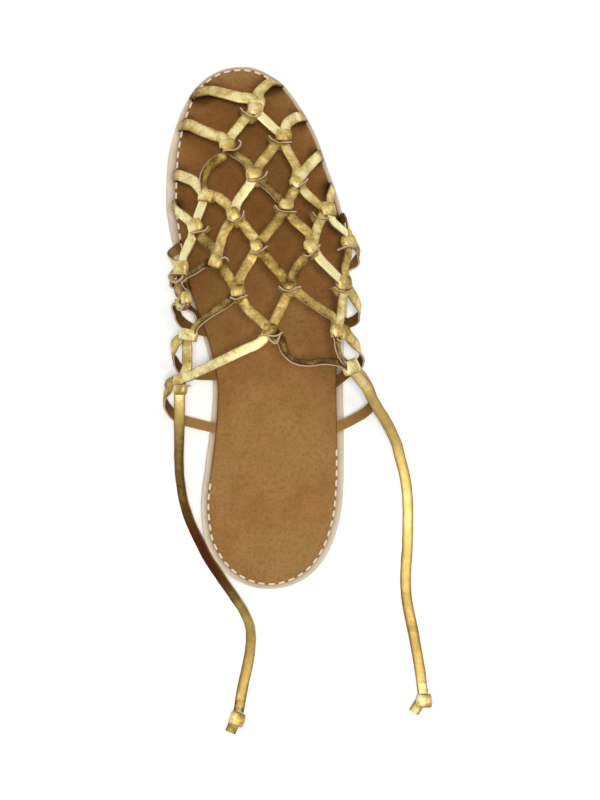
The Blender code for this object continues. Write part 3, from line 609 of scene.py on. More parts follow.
def smooth_values(rows, count):
    """count + 1 rows, evenly spaced along a smooth curve through the given ones. The first
    three columns are the place, and the others follow it. Its height doesn't overshoot."""
    reach, columns = reaches(rows), list(zip(*rows))
    fine = [[hermite(reach, column, reach[-1] * k / (count * 6), axis != 2)
             for axis, column in enumerate(columns)] for k in range(count * 6 + 1)]
    length = reaches(fine)
    out, i = [], 0
    for k in range(count + 1):
        want = length[-1] * k / count
        while i < len(fine) - 2 and length[i + 1] < want:
            i += 1
        t = min(1.0, (want - length[i]) / max(length[i + 1] - length[i], 1e-9))
        out.append([a + (b - a) * t for a, b in zip(fine[i], fine[i + 1])])
    return out


def smooth_path(points, count):
    """count + 1 points, evenly spaced along a smooth curve through the given ones."""
    return [Vector(row) for row in smooth_values(points, count)]


def tangents(points):
    """The direction of a path at each of its points."""
    return [(after - before).normalized()
            for before, after in zip(points[:1] + points[:-1], points[1:] + points[-1:])]


def carried_sides(points, first, last, share=TWIST_SHARE):
    """The direction across a strap at each point, turned from first to last on its way."""
    ways = tangents(points)
    carried = [(first - ways[0] * first.dot(ways[0])).normalized()]
    for one, two in zip(ways, ways[1:]):
        turned = one.rotation_difference(two) @ carried[-1]
        carried.append((turned - two * turned.dot(two)).normalized())
    end = (last - ways[-1] * last.dot(ways[-1])).normalized()
    twist = math.atan2(carried[-1].cross(end).dot(ways[-1]), carried[-1].dot(end))
    turned = (len(points) - 1) * share
    return [Matrix.Rotation(twist * smooth_step(i / turned), 3, way) @ side
            for i, (way, side) in enumerate(zip(ways, carried))]


def smooth_step(t):
    """0 to 1, level at both ends."""
    t = min(1.0, max(0.0, t))
    return t * t * (3.0 - 2.0 * t)


def hump(t, peak):
    """0 at both ends and 1 at the peak."""
    share = t / peak * 0.5 if t < peak else 0.5 + (t - peak) / (1.0 - peak) * 0.5
    return math.sin(math.pi * share)


def wander(place, seed, size):
    """A smooth number between about -1 and 1 that changes over that many millimetres."""
    return noise.noise(place / size + Vector((seed * 17.3, seed * 5.1, -seed * 9.7)))


# ---------------------------------------------------------------- leather
class Leather:
    """Gathers bands of leather into one mesh, with a finish for each of their faces."""

    def __init__(self):
        self.points, self.faces, self.finishes = [], [], []
        self.tones, self.alongs, self.acrosses, self.pales = [], [], [], []

    def band(self, rings, tones, alongs, closed=False, crest="cut", pale=1.0):
        """A band through rings of points, one for each point of SECTION. crest is the finish
        of its last edge, and of both where it is grain. pale keeps the cut edges out of painted
        shade."""
        first, size = len(self.points), len(SECTION)
        for ring, tone, along in zip(rings, tones, alongs):
            self.points += ring
            self.tones += [tone] * size
            self.alongs += [along] * size
            self.pales += [pale] * size
            self.acrosses += [across for across, _, _ in SECTION]
        steps = len(rings) if closed else len(rings) - 1
        for i in range(steps):
            a, b = first + i * size, first + (i + 1) % len(rings) * size
            for k, (_, _, finish) in enumerate(SECTION):
                after = (k + 1) % size
                self.faces.append((a + k, b + k, b + after, a + after))
                if k in LAST_EDGE or (k in FIRST_EDGE and crest == "grain"):
                    finish = crest
                self.finishes.append(FINISHES.index(finish))
        if not closed:
            end = first + (len(rings) - 1) * size
            self.faces.append(tuple(range(first, first + size)))
            self.faces.append(tuple(range(end + size - 1, end - 1, -1)))
            self.finishes += [FINISHES.index("cut")] * 2

    def strap(self, points, sides, width, tones, seed, rolls=None):
        """A flat strap along the middle of its flesh side, as uneven as cut leather."""
        rings, thickness = [], sizes()["strap_thickness"]
        for i, (point, way, side) in enumerate(zip(points, tangents(points), sides)):
            roll = math.radians(rolls[i] if rolls else 0.0)
            roll += math.radians(5.0) * wander(point, seed, 9.0)
            side = Matrix.Rotation(roll, 3, way) @ side
            out = side.cross(way)
            middle = point + side * 0.12 * wander(point, seed + 3, 6.0)
            wide = width * (1.0 + 0.035 * wander(point, seed + 5, 5.0))
            curl = 0.10 * wander(point, seed + 7, 7.0)
            ring = []
            for across, up, _ in SECTION:
                over = thickness * up + curl * across * across
                ring.append(middle + side * across * wide / 2 + out * over)
            rings.append(ring)
        # Straps that don't roll get their cut edges in dark painted shade.
        self.band(rings, tones, reaches(points), pale=1.0 if rolls and any(rolls) else 0.15)

    def made(self, name, grain_side=None):
        """The piece that the bands make together."""
        mesh = smooth_mesh(name, [at(*point) for point in self.points], self.faces)
        mesh.polygons.foreach_set("material_index", self.finishes)
        for label, values in (("tone", self.tones), ("along", self.alongs),
                              ("across", self.acrosses), ("pale", self.pales)):
            mesh.attributes.new(label, "FLOAT", "POINT").data.foreach_set("value", values)
        for finish in (grain_side or gold_foil, raw_edge, flesh_side):
            mesh.materials.append(finish())
        mesh.set_sharp_from_angle(angle=math.radians(50))
        return piece(name, mesh)


def smooth_mesh(name, points, faces):
    """A smooth mesh through those points, in metres."""
    mesh = bpy.data.meshes.new(name)
    mesh.from_pydata(points, [], faces)
    mesh.polygons.foreach_set("use_smooth", [True] * len(faces))
    mesh.update()
    return mesh


def linked(name, data):
    """An object of the scene."""
    made = bpy.data.objects.new(name, data)
    bpy.context.scene.collection.objects.link(made)
    return made


def piece(name, mesh):
    """A piece of the sandal, of that mesh, attached to the root body."""
    made = linked(name, mesh)
    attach(made, "root")
    return made


class Knot:
    """A knot's place, its directions on the last and the straps that meet in it."""

    def __init__(self, name, place=None, out=None, forward=None):
        across, along, self.wide, self.tall, turn, self.tone, self.over = KNOT_FORMS[name]
        slope = out or last_normal(*KNOTS[name])
        self.place = place or on_last(*KNOTS[name])
        self.out = Vector((slope.x * KNOT_FLAT, slope.y * KNOT_FLAT, slope.z)).normalized()
        forward = forward or Vector((0.0, 1.0, 0.0))
        self.along = (forward - self.out * forward.dot(self.out)).normalized()
        self.across = self.along.cross(self.out)
        self.middle = self.at(across, along, 0.0)
        turned = Matrix.Rotation(math.radians(turn), 3, self.out)
        self.neck_along, self.neck_across = turned @ self.along, turned @ self.across
        self.seed = 1 + list(KNOT_FORMS).index(name)
        self.rise, self.taper = 0.0, 0.0

    def at(self, across, along, out):
        """A point beside the knot: to the lateral side, forward and off the last."""
        return self.place + self.across * across + self.along * along + self.out * out

    def neck(self, across, along, out):
        """A point beside the collar's middle, in the collar's own turn."""
        return (self.middle + self.neck_across * across + self.neck_along * along
                + self.out * out)

    def collar(self, leather):
        """The closed turn of strap that holds the knot together."""
        count, thickness = 48, sizes()["strap_thickness"]
        half, deep, middle = self.wide / 2 - thickness, 1.1, 1.2 + self.rise
        rings, tones, alongs = [], [], []
        for i in range(count):
            angle = 2.0 * math.pi * i / count
            cos, sin = math.cos(angle), math.sin(angle)
            x = half * math.copysign(abs(cos) ** 0.6, cos)
            z = deep * math.copysign(abs(sin) ** 0.6, sin)
            normal = Vector((cos / half**0.5, sin / deep**0.5)).normalized()
            ring = []
            for across, up, _ in SECTION:
                share = (across + 1.0) / 2.0
                radial = 0.14 * (1.0 - across * across) - 0.6 * share**3 + thickness * up
                along = (share - 0.5) * self.tall - 0.25 * max(0.0, sin) * (1.0 - share)
                narrow = 1.0 - self.taper * (1.0 - share)
                place = self.neck((x + normal.x * radial) * narrow, along,
                                  middle + z + normal.y * radial)
                rough = 0.09 * wander(place, self.seed, 2.4)
                ring.append(place + (self.neck_across * normal.x + self.out * normal.y) * rough)
            rings.append(ring)
            # Painted light and shade: each collar lighter to its medial side, darker to its
            # lateral side.
            tones.append(self.tone + 0.05 - 0.22 * smooth_step(0.5 + x / self.wide * 1.6))
            alongs.append(i * 0.4)
        first = len(leather.acrosses)
        leather.band(rings, tones, alongs, closed=True, crest="grain")
        # Collars take less of the foil's painted edge shade.
        leather.acrosses[first:] = [min(0.8, across) for across in leather.acrosses[first:]]

    def lip(self, leather, kind, edge, shown):
        """The turn of strap whose edge stands out under the collar. shown is the side on
        which a cup's inside shows, -1 medial or 1 lateral."""
        height, open_form = LIP_FORMS[kind]
        upright = LIP_FORMS["fence"][1]
        side = -1 if kind == "cup" else 1
        edge = [(x, y, 0.0) for x, y in edge]
        rows = smooth_path(edge, round(path_length(edge) / LIP_STEP))
        if kind == "cup":
            rows.reverse()
        steps = len(rows) - 1
        rings = []
        for i, (row, way) in enumerate(zip(rows, tangents(rows))):
            out_x, out_y = way.y * side, -way.x * side
            near_end = min(i, steps - i) * LIP_STEP
            splay = smooth_step((near_end - 1.2) / 3.2)
            end = max(0.0, 1.0 - near_end / 1.2)
            top = height - 0.6 * end**2 + 0.15 * wander(row, self.seed, 3.0)
            if kind == "cup":
                near = i / steps if shown < 0 else 1.0 - i / steps
                splay *= 0.1 + 1.1 * smooth_step(near)
            form = [[a + (b - a) * splay for a, b in zip(one, two)]
                    for one, two in zip(upright, open_form)]
            ring = []
            for across, up, _ in SECTION:
                quarter = (across + 1.0) * 2.0
                away, down = form_at(form, quarter)
                ahead = form_at(form, quarter + 0.1) - form_at(form, quarter - 0.1)
                face = Vector((ahead.y, ahead.x)).normalized() * side
                away += face.x * LIP_THICKNESS * up
                down -= face.y * LIP_THICKNESS * up
                ring.append(self.at(row.x + out_x * away, row.y + out_y * away, top - down))
            rings.append(ring)
        leather.band(rings, [LIP_LIT_TONES[kind]] * len(rings),
                     [i * LIP_STEP for i in range(len(rings))])


def form_at(form, quarter):
    """How far a lip is away from the collar and down, that many quarters from its edge."""
    quarter = min(4.0, max(0.0, quarter))
    return Vector([hermite(range(5), column, quarter) for column in zip(*form)])


def knots():
    """All the knots, by name."""
    return {name: Knot(name) for name in KNOTS}


def entry(knot, side, aside=None):
    """Where a strap comes into the top of a knot, from outside to inside."""
    aside = side * 0.23 * knot.wide if aside is None else aside
    return [knot.neck(aside, knot.tall / 2 + 0.6, 0.6), knot.neck(aside * 0.5, 0.3, 0.9)]


def leaving(knot, side, aside=None):
    """Where a strap comes out of the bottom of a knot, from inside to outside."""
    aside = side * 0.24 * knot.wide if aside is None else aside
    over = side == knot.over
    return [knot.neck(aside * 0.5, 1.6 - knot.tall / 2, 0.9),
            knot.neck(aside, -knot.tall / 2 - 0.6, 1.5 if over else 0.5)]


def across_last(way, place):
    """Across a strap that runs along way there, flat on the last."""
    return way.cross(last_normal(place.x, place.y)).normalized()


def net_strap(one, two, tied):
    """The path, sides, lit tones and rolls of a strap between two knots."""
    bow, up, roll, peak, tone = NET[one, two]
    start, end = tied[one], tied[two]
    side = -1 if end.middle.x < start.middle.x else 1
    from_start, to_end = ASIDE.get((one, two), (None, None))
    first, last = leaving(start, side, from_start), entry(end, -side, to_end)
    if (one, two) in WAYS:
        middle = [on_last(*place, up) if len(place) == 2 else Vector(place)
                  for place in WAYS[one, two]]
        middle[0] += UP * (0.8 if side == start.over else 0.0)
        first, last = first[:1], last[1:]
    else:
        place = first[-1].lerp(last[0], peak)
        middle = [on_last(place.x + bow, place.y, up)]
    rows = first + middle + last
    points = smooth_path(rows, max(12, round(path_length(rows) / 0.8)))
    ways = tangents(points)
    sides = carried_sides(points, across_last(ways[0], points[0]),
                          across_last(ways[-1], points[-1]), 1.0)
    steps = len(points) - 1
    rolls = [roll * hump(i / steps, peak) ** 0.7 for i in range(steps + 1)]
    clear = start.tall / 2 + 1.2
    # Painted shadow: the strap darker where it comes out under the knot's collar and lip.
    lip_shade = 0.34 - 0.26 * smooth_step((tone - 0.8) / 0.4)
    tones = [tone - lip_shade * (1.0 - smooth_step(((point - start.middle).length - clear) / 2.4))
             for point in points]
    return points, sides, tones, rolls


def slot_height(y):
    """The flesh side of a strap where it is tucked between the soles."""
    return OUTSOLE_THICKNESS + STRAP_UNDER + sizes()["strap_thickness"] + lift(y)


def between_soles(edge, out, distance):
    """A point of a tucked strap's flesh side, that far inside the insole's edge."""
    x, y, _ = edge - out * distance
    return Vector((x, y, slot_height(y)))


def rim_point(side, y):
    """A point on the insole's edge, at the height of the tucked straps' flesh side."""
    x, y, _ = edge_point(turn_of(y), side, 1.0)
    return Vector((x, y, slot_height(y)))


def folded_path(knot, side, y, places):
    """From a knot down over the last to the sole's edge, and folded in under itself."""
    edge = rim_point(side, y)
    out = -outline_inward(turn_of(y), side)
    enter = entry(knot, side)[::-1]
    start = enter[-1].xy
    places = places or [start.lerp(edge.xy, t) for t in (0.3, 0.6, 0.84)]
    points = enter[:1 if len(places) == 2 else 2]
    points += [on_last(*place, off=0.5) if len(place) == 2 else Vector(place)
               for place in places]
    points += [edge - out * 0.1 + UP * 3.2,
               edge + out * 0.35 + UP * 1.6,
               edge + out * 0.35 + UP * 0.4,
               between_soles(edge, out, -0.3),
               between_soles(edge, out, 1.5), between_soles(edge, out, TUCK)]
    return points, out


def looped_path(knot, side, y, route):
    """From a knot out and down beside the foot, and in under it to the sole. Each row is a
    point with its lean and tone."""
    edge = rim_point(side, y)
    rows = [(*knot.neck(side * 0.08 * knot.wide, 0.2, 0.2), 10.0, route[0][4])]
    rows += [(x, along, height + lift(along), lean, tone)
             for x, along, height, lean, tone in route]
    last = route[-1][4]
    if len(route) > 3:
        out = (Vector(rows[-1][:2]) - edge.xy).normalized().to_3d()
        rows += [(*between_soles(edge, out, -1.5), 180.0, last)]
    else:
        out = -outline_inward(turn_of(y), side)
        rows += [(*(edge + out * 1.8 + UP * 1.5), 130.0, last),
                 (*(edge + out * 1.35 + UP * 0.35), 170.0, last),
                 (*between_soles(edge, out, -0.5), 180.0, last)]
    return rows + [(*between_soles(edge, out, TUCK), 180.0, last)]


def loop(leather, rows, side, seed):
    """A strap that hangs out from a knot and comes back to the sole with its flesh side up."""
    rows = smooth_values(rows, round(path_length(rows) / 0.6))
    points = [Vector(row[:3]) for row in rows]
    ways = tangents(points)
    level = [way.cross(UP).normalized() for way in ways]
    leather.strap(points, level, sizes()["strap_width"], [row[4] for row in rows], seed,
                  [-side * row[3] for row in rows])


def edge_strap(leather, rows, out, wider, tone, seed):
    """A strap from a knot to the sole."""
    points = smooth_path(rows, round(path_length(rows) / 0.7))
    first = across_last(tangents(points)[0], points[0])
    sides = carried_sides(points, first, out.cross(UP))
    rim = rows[-3].xy
    # Painted shade near the sole's edge, where the strap folds over the rim and goes in.
    tones = [tone - 0.42 * smooth_step(1.0 - ((point.xy - rim).length - 1.0) / 3.5)
             for point in points]
    leather.strap(points, sides, sizes()["strap_width"] * wider, tones, seed)


# ---------------------------------------------------------------- materials
def material_named(name):
    """Turns a function that dresses a shader into one that returns the material, made once."""
    def named(dress):
        def material():
            made = bpy.data.materials.get(name)
            if made is None:
                made = bpy.data.materials.new(name)
                made.use_nodes = True
                dress(made.node_tree, made.node_tree.nodes["Principled BSDF"])
            return made
        return material
    return named


def node(tree, kind, settings=None, **inputs):
    """A node with its settings and its inputs: values, or sockets to link from."""
    made = tree.nodes.new(kind)
    for key, value in (settings or {}).items():
        setattr(made, key, value)
    for key, value in inputs.items():
        feed(tree, made.inputs[key.replace("_", " ")], value)
    return made


def feed(tree, socket, value):
    """Links a socket to another, or sets it."""
    if isinstance(value, bpy.types.NodeSocket):
        tree.links.new(value, socket)
    else:
        socket.default_value = value


def dressed(tree, shader, **inputs):
    """Sets the shader's inputs: values, or sockets to link from."""
    for key, value in inputs.items():
        feed(tree, shader.inputs[key.replace("_", " ")], value)


def place_on(tree):
    """The place on the object."""
    return node(tree, "ShaderNodeTexCoord").outputs["Object"]


def mesh_value(tree, label):
    """A value that the leather's mesh keeps at each of its points."""
    return node(tree, "ShaderNodeAttribute", {"attribute_name": label}).outputs["Fac"]


def crowding(tree, distance):
    """How open the surface is, to paint shade by: 1 in the open, less under and beside other
    pieces.
    """
    made = node(tree, "ShaderNodeAmbientOcclusion", {"samples": 8}, Distance=distance)
    return made.outputs["AO"]


def noise_of(tree, place, size, detail=2.0, roughness=0.5, distortion=0.0):
    """Soft noise, of features that many millimetres across."""
    made = node(tree, "ShaderNodeTexNoise", Vector=place, Scale=1.0 / (size * MM),
                Detail=detail, Roughness=roughness, Distortion=distortion)
    return made.outputs["Fac"]


def ramp(tree, value, low, high, to_low=0.0, to_high=1.0):
    """A value's range made another, and clamped."""
    made = node(tree, "ShaderNodeMapRange", {"clamp": True}, Value=value, From_Min=low,
                From_Max=high, To_Min=to_low, To_Max=to_high)
    return made.outputs["Result"]


def blended(tree, factor, one, two):
    """Two colours, mixed."""
    made = tree.nodes.new("ShaderNodeMix")
    made.data_type = "RGBA"
    feed(tree, made.inputs[0], factor)
    feed(tree, made.inputs[6], one)
    feed(tree, made.inputs[7], two)
    return made.outputs[2]


def layered(tree, base, *layers):
    """A colour with others laid over it. Each covers more and more of it as a value goes
    from low to high, up to the most it covers."""
    for value, low, high, most, tint in layers:
        base = blended(tree, ramp(tree, value, low, high, 0.0, most), base, tint)
    return base


def math_of(tree, operation, one, two):
    """A sum, product or other operation on two values."""
    made = tree.nodes.new("ShaderNodeMath")
    made.operation = operation
    feed(tree, made.inputs[0], one)
    feed(tree, made.inputs[1], two)
    return made.outputs[0]


def bumped(tree, height, distance, normal=None):
    """The normal of a surface with that height, in millimetres."""
    made = node(tree, "ShaderNodeBump", Height=height, Distance=distance * MM, Strength=1.0)
    if normal:
        feed(tree, made.inputs["Normal"], normal)
    return made.outputs["Normal"]


def foil(tree, shader, uneven):
    """Metallic foil on soft grained leather: mottled, finely cracked and a little creased."""
    place = place_on(tree)
    mottle = noise_of(tree, place, 1.1, 3.0, 0.7, 0.4)
    cloud = noise_of(tree, place, 6.0, 2.0, 0.5, 0.6)
    grain = noise_of(tree, place, 0.5, 3.0, 0.65, 0.3)
    # Painted light and shade: the lit tone, with random mottle and cloud, sets how bright the
    # foil is.
    bright = math_of(tree, "ADD", mesh_value(tree, "tone"),
                     ramp(tree, cloud, 0.28, 0.72, -1.4 * uneven, 1.4 * uneven))
    bright = math_of(tree, "ADD", bright,
                     ramp(tree, mottle, 0.30, 0.70, -0.8 * uneven, 0.8 * uneven))
    # Painted shade towards a strap's edges.
    edge = math_of(tree, "ABSOLUTE", mesh_value(tree, "across"), 0.0)
    bright = math_of(tree, "SUBTRACT", bright, ramp(tree, edge, 0.3, 0.95, 0.0, 0.14))
    # A reddish near-black painted shade, then shaded gold, gold and the painted highlight as
    # brightness rises; more painted shade at the edges; worn gold in the fine cracks.
    base = layered(tree, (0.075, 0.014, 0.001, 1.0),
                   (bright, 0.1, 0.5, 1.0, colour("gold_shaded")),
                   (bright, 0.5, 0.95, 1.0, colour("gold")),
                   (bright, 0.95, 1.25, 1.0, colour("gold_highlit")),
                   (edge, 0.8, 1.0, 0.8, colour("gold_shaded")),
                   (grain, 0.58, 0.74, 0.4, colour("gold_worn")))
    creases = noise_of(tree, place, 3.0, 2.0, 0.5, 0.6)
    normal = bumped(tree, creases, 1.5 * uneven)
    dressed(tree, shader, Base_Color=base, Metallic=0.5, Specular_IOR_Level=0.25,
            Roughness=ramp(tree, grain, 0.35, 0.7, 0.42, 0.60),
            Normal=bumped(tree, grain, 0.05, normal))


@material_named("gold_foil")
def gold_foil(tree, shader):
    """The foil on the net's soft straps."""
    foil(tree, shader, 0.16)


@material_named("tie_foil")
def tie_foil(tree, shader):
    """The same foil on the ties' smoother leather."""
    foil(tree, shader, 0.05)


@material_named("raw_edge")
def raw_edge(tree, shader):
    """The cut edge of the straps: pale fibres."""
    place = place_on(tree)
    fibre = noise_of(tree, place, 0.5, 3.0, 0.6)
    base = layered(tree, colour("cut_edge"), (fibre, 0.3, 0.7, 1.0, (0.58, 0.42, 0.31, 1.0)))
    # Painted shade: the cut edges go dark where pale is low, on straps that don't roll.
    base = blended(tree, mesh_value(tree, "pale"), (0.05, 0.022, 0.004, 1.0), base)
    dressed(tree, shader, Base_Color=base, Roughness=0.8, Normal=bumped(tree, fibre, 0.1))


@material_named("flesh_side")
def flesh_side(tree, shader):
    """The suede side of the straps."""
    place = place_on(tree)
    nap = noise_of(tree, place, 0.45, 3.0, 0.65)
    patches = noise_of(tree, place, 5.0, 2.0)
    base = layered(tree, colour("flesh"),
                   (patches, 0.3, 0.7, 1.0, (0.31, 0.165, 0.042, 1.0)),
                   (nap, 0.45, 0.75, 0.4, (0.12, 0.06, 0.012, 1.0)),
                   # painted shade where the lit tone is low
                   (mesh_value(tree, "tone"), 1.0, 0.4, 0.9, (0.085, 0.033, 0.008, 1.0)))
    dressed(tree, shader, Base_Color=base, Roughness=0.95, Specular_IOR_Level=0.1,
            Normal=bumped(tree, nap, 0.12))


@material_named("brushed_suede")
def suede(tree, shader):
    """The insole's brown suede: a short nap, brushed here and there."""
    place = place_on(tree)
    nap = noise_of(tree, place, 0.55, 4.0, 0.7)
    flecks = noise_of(tree, place, 1.8, 3.0, 0.65, 0.3)
    brushed = noise_of(tree, place, 9.0, 3.0, 0.55, 0.4)
    broad = noise_of(tree, place, 34.0, 2.0, 0.5)
    base = layered(tree, colour("suede"),
                   (brushed, 0.38, 0.62, 1.0, (0.36, 0.165, 0.055, 1.0)),
                   (broad, 0.42, 0.62, 0.6, (0.34, 0.20, 0.065, 1.0)),
                   (flecks, 0.48, 0.66, 0.55, (0.20, 0.098, 0.026, 1.0)),
                   (nap, 0.48, 0.7, 0.5, (0.44, 0.26, 0.10, 1.0)),
                   # Painted shade from ambient occlusion: broadly under the net, darker close
                   # beside the straps.
                   (crowding(tree, 0.045), 0.93, 0.55, 0.8, (0.125, 0.040, 0.004, 1.0)),
                   (crowding(tree, 0.008), 0.99, 0.74, 0.92, (0.04, 0.017, 0.003, 1.0)))
    dressed(tree, shader, Base_Color=base, Roughness=0.98, Specular_IOR_Level=0.1,
            Normal=bumped(tree, nap, 0.25, bumped(tree, flecks, 0.35)))


@material_named("natural_leather")
def sole_leather(tree, shader):
    """Natural leather: pale, with a fine grain and painted shade near the floor and the insole.
    """
    place = place_on(tree)
    grain = noise_of(tree, place, 0.6, 3.0, 0.6)
    cloud = noise_of(tree, place, 14.0, 3.0, 0.55)
    base = layered(tree, colour("sole"),
                   (cloud, 0.35, 0.7, 1.0, (0.74, 0.61, 0.46, 1.0)),
                   (grain, 0.5, 0.8, 0.35, (0.48, 0.37, 0.26, 1.0)),
                   # Painted shade where other surfaces are within 3 mm.
                   (crowding(tree, 0.003), 0.98, 0.55, 0.85, (0.26, 0.17, 0.095, 1.0)))
    dressed(tree, shader, Base_Color=base, Roughness=ramp(tree, grain, 0.3, 0.7, 0.45, 0.65),
            Normal=bumped(tree, grain, 0.08))


@material_named("thread")
def thread(tree, shader):
    """Waxed cream thread."""
    place = place_on(tree)
    plies = noise_of(tree, place, 0.35, 2.0, 0.6)
    base = layered(tree, colour("thread"), (plies, 0.3, 0.7, 1.0, (0.86, 0.70, 0.50, 1.0)))
    dressed(tree, shader, Base_Color=base, Roughness=0.6, Normal=bumped(tree, plies, 0.1))


@material_named("floor")
def pale_floor(tree, shader):
    """A plain pale floor."""
    dressed(tree, shader, Base_Color=colour("floor"), Roughness=0.9,
            Emission_Color=(1.0, 1.0, 1.0, 1.0), Emission_Strength=0.08)


# ---------------------------------------------------------------- the soles
def sole_mesh(name, rim, profile, columns, finish, top_detail=0.0):
    """A layer of the sole. profile runs from its underside out and up to its top surface:
    rows of (inset from the layer's edge, height over the sole's underside). Its top has soft
    bumps, top_detail high."""
    points, faces = [], []
    round_it = [(-1, i) for i in range(STATIONS)] + [(1, i) for i in reversed(range(STATIONS))]
    turns = [math.pi * (i + 0.5) / STATIONS for i in range(STATIONS)]
    for side, i in round_it:
        for inset, height in profile:
            x, y, _ = edge_point(turns[i], side, rim, inset)
            points.append(at(x, y, height + lift(y)))
    rows = len(profile)
    for j in range(len(round_it)):
        a, b = j * rows, (j + 1) % len(round_it) * rows
        faces += [(a + k, a + k + 1, b + k + 1, b + k) for k in range(rows - 1)]
    for row, flip in ((0, False), (rows - 1, True)):
        grid = []
        for i in range(STATIONS):
            medial, lateral = i * rows + row, (2 * STATIONS - 1 - i) * rows + row
            room = min(1.0, (points[lateral] - points[medial]).length / (60.0 * MM))
            for c in range(1, columns):
                place = points[medial].lerp(points[lateral], c / columns)
                height = top_detail * MM * room**2 * noise.noise(place / (11.0 * MM))
                place.z += height if flip else 0.0
                points.append(place)
            grid.append([medial, *range(len(points) - columns + 1, len(points)), lateral])
        for one, two in zip(grid, grid[1:]):
            for c in range(columns):
                face = (one[c], one[c + 1], two[c + 1], two[c])
                faces.append(face if flip else face[::-1])
        for line, turned in ((grid[0], flip), (grid[-1], not flip)):
            faces.append(tuple(line[::-1] if turned else line))
    mesh = smooth_mesh(name, points, faces)
    mesh.materials.append(finish)
    return piece(name, mesh)


def rounded(thickness, bottom, radius, inset_to, steps):
    """A layer's profile with a rounded lower and upper edge."""
    turns = [math.pi / 2 * i / steps for i in range(steps + 1)]
    top = bottom + thickness
    lower = [(radius * (1 - math.sin(turn)), bottom + radius * (1 - math.cos(turn)))
             for turn in turns]
    upper = [(radius * (1 - math.cos(turn)), top - radius * (1 - math.sin(turn)))
             for turn in turns]
    return [(inset_to, bottom), *lower, *upper, (inset_to, top)]


def stitch_line(start, end, where, steps=200):
    """The row of stitches as a line of points, from one side round the heel or toe."""
    (side_one, y_one), (side_two, y_two) = start, end
    tip = 0.0 if where == "heel" else math.pi
    line = []
    for side, turn_from, turn_to in ((side_one, turn_of(y_one), tip),
                                     (side_two, tip, turn_of(y_two))):
        for i in range(steps):
            turn = turn_from + (turn_to - turn_from) * i / steps
            x, y, _ = edge_point(turn, side, 1.0, STITCH_INSET)
            line.append(Vector((x, y, STITCH_HEIGHT + lift(y))))
    return line


# ---------------------------------------------------------------- the stage (metres)
FLOOR = 6.0               # half its width
EYE, LOOKS_AT = (-0.0599, 0.0597, 0.795), (0.0139, 0.0551, 0.0)
LIT_AT = (0.0, 0.08, 0.0)
LAMPS = (
    # name, place, width, power
    ("key", (-0.18, -0.18, 6.0), 0.9, 195.0),
    ("left", (-1.68, 0.32, 4.8), 1.0, 15.0),
    ("right", (1.68, 0.32, 4.8), 1.0, 22.0),
    ("front", (0.20, 1.96, 4.8), 1.0, 17.0),
    ("back", (0.0, -1.84, 4.8), 1.0, 10.0),
)


def studio():
    """A pale room's light, weaker from above."""
    world = bpy.data.worlds.new("studio")
    world.use_nodes = True
    tree = world.node_tree
    background = tree.nodes["Background"]
    background.inputs["Color"].default_value = (0.88, 0.94, 1.0, 1.0)
    way = node(tree, "ShaderNodeTexCoord").outputs["Generated"]
    height = node(tree, "ShaderNodeSeparateXYZ", Vector=way).outputs["Z"]
    feed(tree, background.inputs["Strength"], ramp(tree, height, 0.0, 1.0, 0.70, 0.22))
    return world


def lamp(name, place, width, power):
    """A soft square lamp that shines on the sandal."""
    data = bpy.data.lights.new(name, "AREA")
    data.shape, data.size, data.energy = "SQUARE", width, power
    data.color = (1.0, 0.965, 0.91)
    light = linked(name, data)
    light.location = place
    way = Vector(LIT_AT) - Vector(place)
    light.rotation_euler = way.to_track_quat("-Z", "Y").to_euler()


def camera():
    """The camera, nearly straight above the sandal."""
    lens = bpy.data.cameras.new("camera")
    made = linked("camera", lens)
    lens.sensor_width, lens.lens, lens.clip_start = 36.0, 74.9, 0.05
    back = (Vector(EYE) - Vector(LOOKS_AT)).normalized()
    right = Vector((0.0, 1.0, 0.0)).cross(back).normalized()
    axes = Matrix((right, back.cross(right), back)).transposed()
    made.matrix_world = Matrix.Translation(EYE) @ axes.to_4x4()
    return made


# ---------------------------------------------------------------- operators
class SANDAL_OT_stage(bpy.types.Operator):
    """Makes the floor, the lights and the camera"""
    bl_idname = "sandal.stage"
    bl_label = "Stage"

    def execute(self, context):
        floor = linked("floor", bpy.data.meshes.new("floor"))
        corners = [(-FLOOR, -FLOOR, 0), (FLOOR, -FLOOR, 0), (FLOOR, FLOOR, 0),
                   (-FLOOR, FLOOR, 0)]
        floor.data.from_pydata(corners, [], [(0, 1, 2, 3)])
        floor.data.materials.append(pale_floor())

        context.scene.world = studio()
        context.scene.view_settings.view_transform = "Standard"
        for row in LAMPS:
            lamp(*row)
        context.scene.camera = camera()
        return {"FINISHED"}


class SANDAL_OT_ties(bpy.types.Operator):
    """Lays the two ties along the floor, with the knots at their ends"""
    bl_idname = "sandal.ties"
    bl_label = "Ties"

    def execute(self, context):
        size = sizes()
        for name, route in TIES.items():
            rows = smooth_values(route, round(path_length(route)))
            points = [Vector(row[:3]) for row in rows]
            rolls = [row[3] for row in rows]
            ways = tangents(points)
            sides = carried_sides(points, ways[0].cross(UP), ways[-1].cross(UP))
            raised, centre = [], []
            for point, way, side, roll in zip(points, ways, sides, rolls):
                lean = math.radians(roll)
                rise = size["tie_width"] / 2 * abs(math.sin(lean)) * max(0.0, 1 - point.z / 20)
                raised.append(point + UP * (rise - size["strap_thickness"] / 2))
                centre.append(at(*(point + UP * rise)))
            leather = Leather()
            seed = 40 + list(TIES).index(name)
            leather.strap(raised, sides, size["tie_width"], [row[4] for row in rows], seed,
                          rolls)
            tie = leather.made(name + "_strap", tie_foil)
            end = end_knot(name, points, ways, seed, route[-1][4])
            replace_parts(tie, name)
            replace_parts(end, name.replace("tie", "end_knot"))
        return {"FINISHED"}


